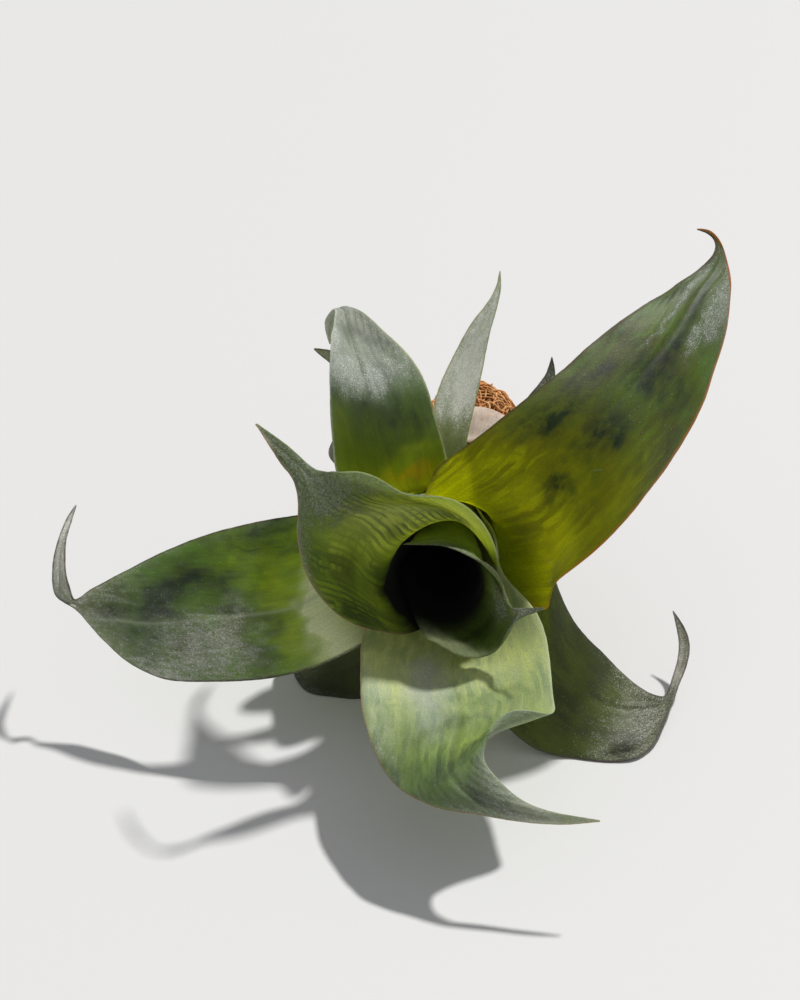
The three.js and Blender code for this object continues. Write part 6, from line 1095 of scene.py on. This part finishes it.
PAPER = {
    # papery_sheath is near white: partly its own pale colour, partly painted light where leaves shade it
    "papery_sheath": dict(light=lin(254, 240, 228), deep_=lin(244, 212, 190), fleck=lin(120, 78, 52)),
    "old_sheath_left": dict(light=lin(196, 168, 130), deep_=lin(150, 118, 84), fleck=lin(92, 62, 40)),
    "old_sheath_right": dict(light=lin(188, 160, 124), deep_=lin(146, 112, 80), fleck=lin(92, 62, 40)),
    "dry_leaf": dict(light=lin(206, 204, 194), deep_=lin(170, 166, 150), fleck=lin(120, 110, 90)),
}
for number, (key, colours) in enumerate(PAPER.items()):
    leaf_object(
        key,
        dict(
            slot="dry_sheath", grid=(70, 60), seed=300 + 11 * number, wave=0.0, rib=0.0, pleat=0.08, crumple=0.22,
            thick=(0.42, 0.4, 0.34, 0.3), ragged=0.6, material=paper_material(key + "_look", 5 + number, **colours),
        ),
    )


# ---------------------------------------------------------------- stem
def tube_faces(rings, sides, cap_ends=True):
    faces = []
    for i in range(rings - 1):
        for k in range(sides):
            a = i * sides + k
            b = i * sides + (k + 1) % sides
            faces.append((a, b, b + sides, a + sides))
    if cap_ends:
        faces.append(tuple(range(sides - 1, -1, -1)))
        faces.append(tuple(range((rings - 1) * sides, rings * sides)))
    return faces


axis = unit(AXIS_MOUTH - AXIS_BACK)
side_a = unit(np.cross(axis, [0, 0, 1.0]))
side_b = np.cross(axis, side_a)


def stem_object():
    rows, sides = 96, 64
    verts = []
    values = []
    sunk = 8.6
    for i in range(rows):
        s = i / (rows - 1)
        along = -sunk + (STEM_LENGTH - 0.5 + sunk) * (1 - (1 - s) ** 1.6)
        f = max(along, 0) / STEM_LENGTH
        radius = STEM_RADIUS * math.sqrt(max(1 - (f * 0.985) ** 2, 0.02)) * (0.97 if along > 0 else 0.8 + 0.17 * smooth(np.array(along), -3.0, 0.0))
        scar = 0.28 * (0.5 + 0.5 * math.cos(2 * math.pi * along / 3.1)) ** 6
        for k in range(sides):
            a = 2 * math.pi * k / sides
            wob = 0.18 * math.sin(3 * a + along * 0.9) + 0.1 * math.sin(7 * a - along * 1.7)
            r = radius - 0.35 - scar + wob * 0.6
            verts.append(AXIS_BACK + axis * along + r * (math.cos(a) * side_a + math.sin(a) * side_b))
            values.append((a * radius, along, scar))
    obj = make_mesh("stem_core", np.array(verts) * MM, tube_faces(rows, sides), {"lf": np.array(values)})
    t = Tree("stem_look")
    x, y, scar = t.attribute("lf")
    place = t.vector(x, y, 3.0)
    grain = t.noise(t.vector(t.mul(x, 1.6), t.mul(y, 0.3), 1.0), 1.0, 4.0, 0.6)
    base = t.ramp(grain, [(0.3, lin(122, 108, 62)), (0.55, lin(164, 152, 98)), (0.75, lin(186, 178, 126))])
    base = t.mix(t.step(scar, 0.02, 0.16), base, lin(92, 64, 40))
    base = t.mix(t.step(t.noise(place, 0.5, 3.0), 0.5, 0.75), base, lin(112, 84, 54))
    obj.data.materials.append(t.surface(base, 0.62, t.bump(grain, 0.6, 0.0003)))
    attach(obj, "root")
    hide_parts("stem")


stem_object()


# ---------------------------------------------------------------- root ball
def ball_frame():
    return np.stack([side_a, side_b, axis], axis=1)


def on_ball(direction, grow=0.0):
    """Point of the root ball's outer shape in a direction given in the ball's own frame."""
    d = unit(np.asarray(direction, float))
    f = abs(d[..., 2])
    r = np.stack(
        [
            d[..., 0] * (BALL_RADIUS * (1 - 0.04 * f) + grow),
            d[..., 1] * (BALL_RADIUS * (1 - 0.04 * f) + grow),
            d[..., 2] * (BALL_HALF_LENGTH + grow),
        ],
        axis=-1,
    )
    return BALL_CENTRE + r @ ball_frame().T


def ball_object():
    bpy.ops.mesh.primitive_ico_sphere_add(subdivisions=7, radius=1)
    proto = bpy.context.active_object
    co = np.zeros(len(proto.data.vertices) * 3)
    proto.data.vertices.foreach_get("co", co)
    co = co.reshape(-1, 3)
    faces = np.zeros(len(proto.data.polygons) * 3, np.int32)
    proto.data.polygons.foreach_get("vertices", faces)
    faces = faces.reshape(-1, 3)
    bpy.data.objects.remove(proto)
    return co, faces


def fibre_look(name, seed, stops, rough=0.8):
    t = Tree(name)
    coord = t.new("ShaderNodeTexCoord").outputs["Object"]
    x, y, dark = t.attribute("lf")
    tone = t.noise(coord, 260.0, 4.0, 0.65)
    strand = t.noise(t.vector(t.mul(x, 2.0), t.mul(y, 0.35), seed), 1.0, 3.0, 0.6)
    base = t.ramp(t.add(t.mul(tone, 0.5), t.mul(strand, 0.5)), stops)
    # the third value darkens towards brown-black: painted shade in the root ball's hollows
    base = t.mix(t.math("MULTIPLY", dark, 1.0, clamp=True), base, lin(40, 22, 12))
    fine = t.noise(coord, 1600.0, 3.0, 0.6)
    return t.surface(base, t.add(rough - 0.1, t.mul(fine, 0.25)), t.bump(t.add(tone, fine), 0.7, 0.0003), Specular_IOR_Level=0.3)


FIBRE_STOPS = [(0.3, lin(132, 78, 40)), (0.42, lin(204, 134, 74)), (0.55, lin(240, 184, 122)), (0.7, lin(250, 222, 178))]


def root_ball():
    co, faces = ball_object()
    base = np.array([noise.fractal(Vector(c * 3.1), 0.9, 2.1, 4) for c in co])
    holes = np.array([noise.noise(Vector(c * 5.3 + 7)) for c in co])
    fine = np.array([noise.noise(Vector(c * 17.0 + 3)) for c in co])
    depth = -1.0 + 0.7 * base + 0.35 * fine - 2.2 * smooth(holes, 0.15, 0.45)
    depth = np.minimum(depth, -0.15)
    points = on_ball(co, 0.0)
    centre = BALL_CENTRE
    out = unit(points - centre)
    points = points + out * depth[:, None]
    # painted shade: the deeper hollows of the root ball are painted darker
    dark = smooth(-depth, 1.2, 3.0)
    local = co @ np.eye(3)
    values = np.stack([local[:, 0] * 16, local[:, 1] * 16, dark], axis=1)
    obj = make_mesh("root_ball_core", points * MM, faces, {"lf": values})
    obj.data.materials.append(fibre_look("root_ball_look", 2.0, [(0.3, lin(86, 50, 26)), (0.5, lin(140, 88, 48)), (0.72, lin(190, 140, 92))]))
    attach(obj, "root")
    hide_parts("root_ball")


def tube(points, radii, sides):
    """Rings round a polyline, in mm."""
    points = np.asarray(points, float)
    way = unit(np.gradient(points, axis=0))
    ref = np.array([0.31, 0.52, 0.79])
    a = unit(np.cross(way, ref))
    b = np.cross(way, a)
    ang = np.linspace(0, 2 * math.pi, sides, endpoint=False)
    ring = np.cos(ang)[None, :, None] * a[:, None] + np.sin(ang)[None, :, None] * b[:, None]
    return (points[:, None] + ring * np.asarray(radii)[:, None, None]).reshape(-1, 3)


def fibres():
    rng = random.Random(41)
    verts, faces, values = [], [], []
    sides = 5
    for k in range(260):
        d = np.array([rng.gauss(0, 1), rng.gauss(0, 1), rng.gauss(0, 1)])
        d = unit(d)
        tangent = unit(np.cross(d, [rng.gauss(0, 1), rng.gauss(0, 1), rng.gauss(0, 1)]))
        n = rng.randint(22, 40)
        curl = rng.uniform(-0.35, 0.35)
        swing = rng.uniform(0.2, 0.5)
        phase = rng.uniform(0, 6.28)
        lift = rng.uniform(-0.5, 0.6)
        hop = rng.uniform(0.1, 0.55)
        radius = rng.uniform(0.16, 0.36)
        path = []
        for i in range(n):
            grow = lift + hop * math.sin(i * 0.45 + phase) - 0.15
            path.append(on_ball(d, min(grow, 1.1)))
            turn = curl * 0.35 + swing * math.sin(i * 0.6 + phase) * 0.6
            side = np.cross(d, tangent)
            tangent = unit(tangent * math.cos(turn) + side * math.sin(turn))
            d = unit(d + tangent * 0.045)
            tangent = unit(tangent - d * np.dot(d, tangent))
        # each fibre thins towards both ends
        radii = radius * np.clip(np.sin(np.linspace(0.12, math.pi - 0.12, n)) * 2.2, 0.3, 1.0)
        start = sum(len(v) for v in verts)
        ring = tube(path, radii, sides)
        verts.append(ring)
        faces += [tuple(start + i for i in f) for f in tube_faces(n, sides)]
        values.append(np.stack([np.tile(np.arange(sides), n) * 0.3, np.repeat(np.arange(n), sides) * 0.7 + 31.0 * k, np.zeros(n * sides)], axis=1))
    obj = make_mesh("root_ball_fibres", np.concatenate(verts) * MM, faces, {"lf": np.concatenate(values)})
    obj.data.materials.append(fibre_look("root_fibres_look", 9.0, FIBRE_STOPS, 0.7))
    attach(obj, "root")


root_ball()
fibres()


def root_object(name, way, seed):
    way = np.array(way, float)
    knots = np.concatenate([[0], np.cumsum(np.linalg.norm(np.diff(way, axis=0), axis=1))])
    n = 70
    t = np.linspace(0, knots[-1], n)
    path = spline(knots, way, t)
    s = t / knots[-1]
    wob = np.stack([perlin(t / 2.3, t * 0 + i, seed + i) for i in range(3)], axis=1)
    path = path + wob * 0.35 * smooth(s, 0.05, 0.2)[:, None]
    radii = 0.62 * (1 - 0.35 * s) * (1 + 0.25 * perlin(t / 1.1, t * 0 + 9, seed + 7)) * np.sqrt(np.clip((1.0 - s) / 0.03, 0.15, 1))
    verts = [tube(path, radii, 10)]
    faces = tube_faces(n, 10)
    values = [np.stack([np.tile(np.arange(10) * 0.35, n), np.repeat(t, 10), np.zeros(10 * n)], axis=1)]
    obj = make_mesh(name + "_wire", np.concatenate(verts) * MM, faces, {"lf": np.concatenate(values)})
    obj.data.materials.append(
        fibre_look(name + "_look", seed, [(0.3, lin(52, 32, 20)), (0.5, lin(84, 54, 34)), (0.75, lin(128, 92, 62))], 0.7)
    )
    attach(obj, "root")
    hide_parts(name)


for number, (key, way) in enumerate(ROOTS.items()):
    root_object(key, way, 61 + 5 * number)

# ---------------------------------------------------------------- floor, light and camera
floor_mesh = bpy.data.meshes.new("floor")
floor_mesh.from_pydata([(-4, -4, 0), (4, -4, 0), (4, 4, 0), (-4, 4, 0)], [], [(0, 1, 2, 3)])
floor = bpy.data.objects.new("floor", floor_mesh)
bpy.context.scene.collection.objects.link(floor)
t = Tree("floor_look")
floor_mesh.materials.append(t.surface((0.80, 0.80, 0.805), 0.6, Specular_IOR_Level=0.2))

world = bpy.data.worlds.new("studio")
bpy.context.scene.world = world
world.use_nodes = True
background = world.node_tree.nodes["Background"]
background.inputs["Color"].default_value = (0.97, 0.98, 1.0, 1.0)
background.inputs["Strength"].default_value = 0.30

sun = bpy.data.lights.new("key", "SUN")
sun.energy = 2.95
sun.angle = math.radians(3)
sun.color = (1.0, 0.985, 0.955)
sun_object = bpy.data.objects.new("key", sun)
bpy.context.scene.collection.objects.link(sun_object)
toward = Vector((0.326, 0.54, 0.776)).normalized()
sun_object.rotation_euler = toward.to_track_quat("Z", "Y").to_euler()
sun_object.location = toward * 1.0

camera = bpy.data.cameras.new("camera")
camera.sensor_fit = "VERTICAL"
camera.sensor_height = 36.0
camera.lens = 82.8
camera.clip_start = 0.01
camera.clip_end = 20.0
camera_object = bpy.data.objects.new("camera", camera)
camera_object.location = (0.00121, -0.5416, 0.4493)
camera_object.rotation_euler = (math.radians(55), 0, 0)
bpy.context.scene.collection.objects.link(camera_object)
bpy.context.scene.camera = camera_object
bpy.context.scene.view_settings.view_transform = "Standard"
bpy.context.scene.view_settings.look = "None"
bpy.context.scene.view_settings.exposure = 0.0
bpy.context.scene.view_settings.gamma = 1.0
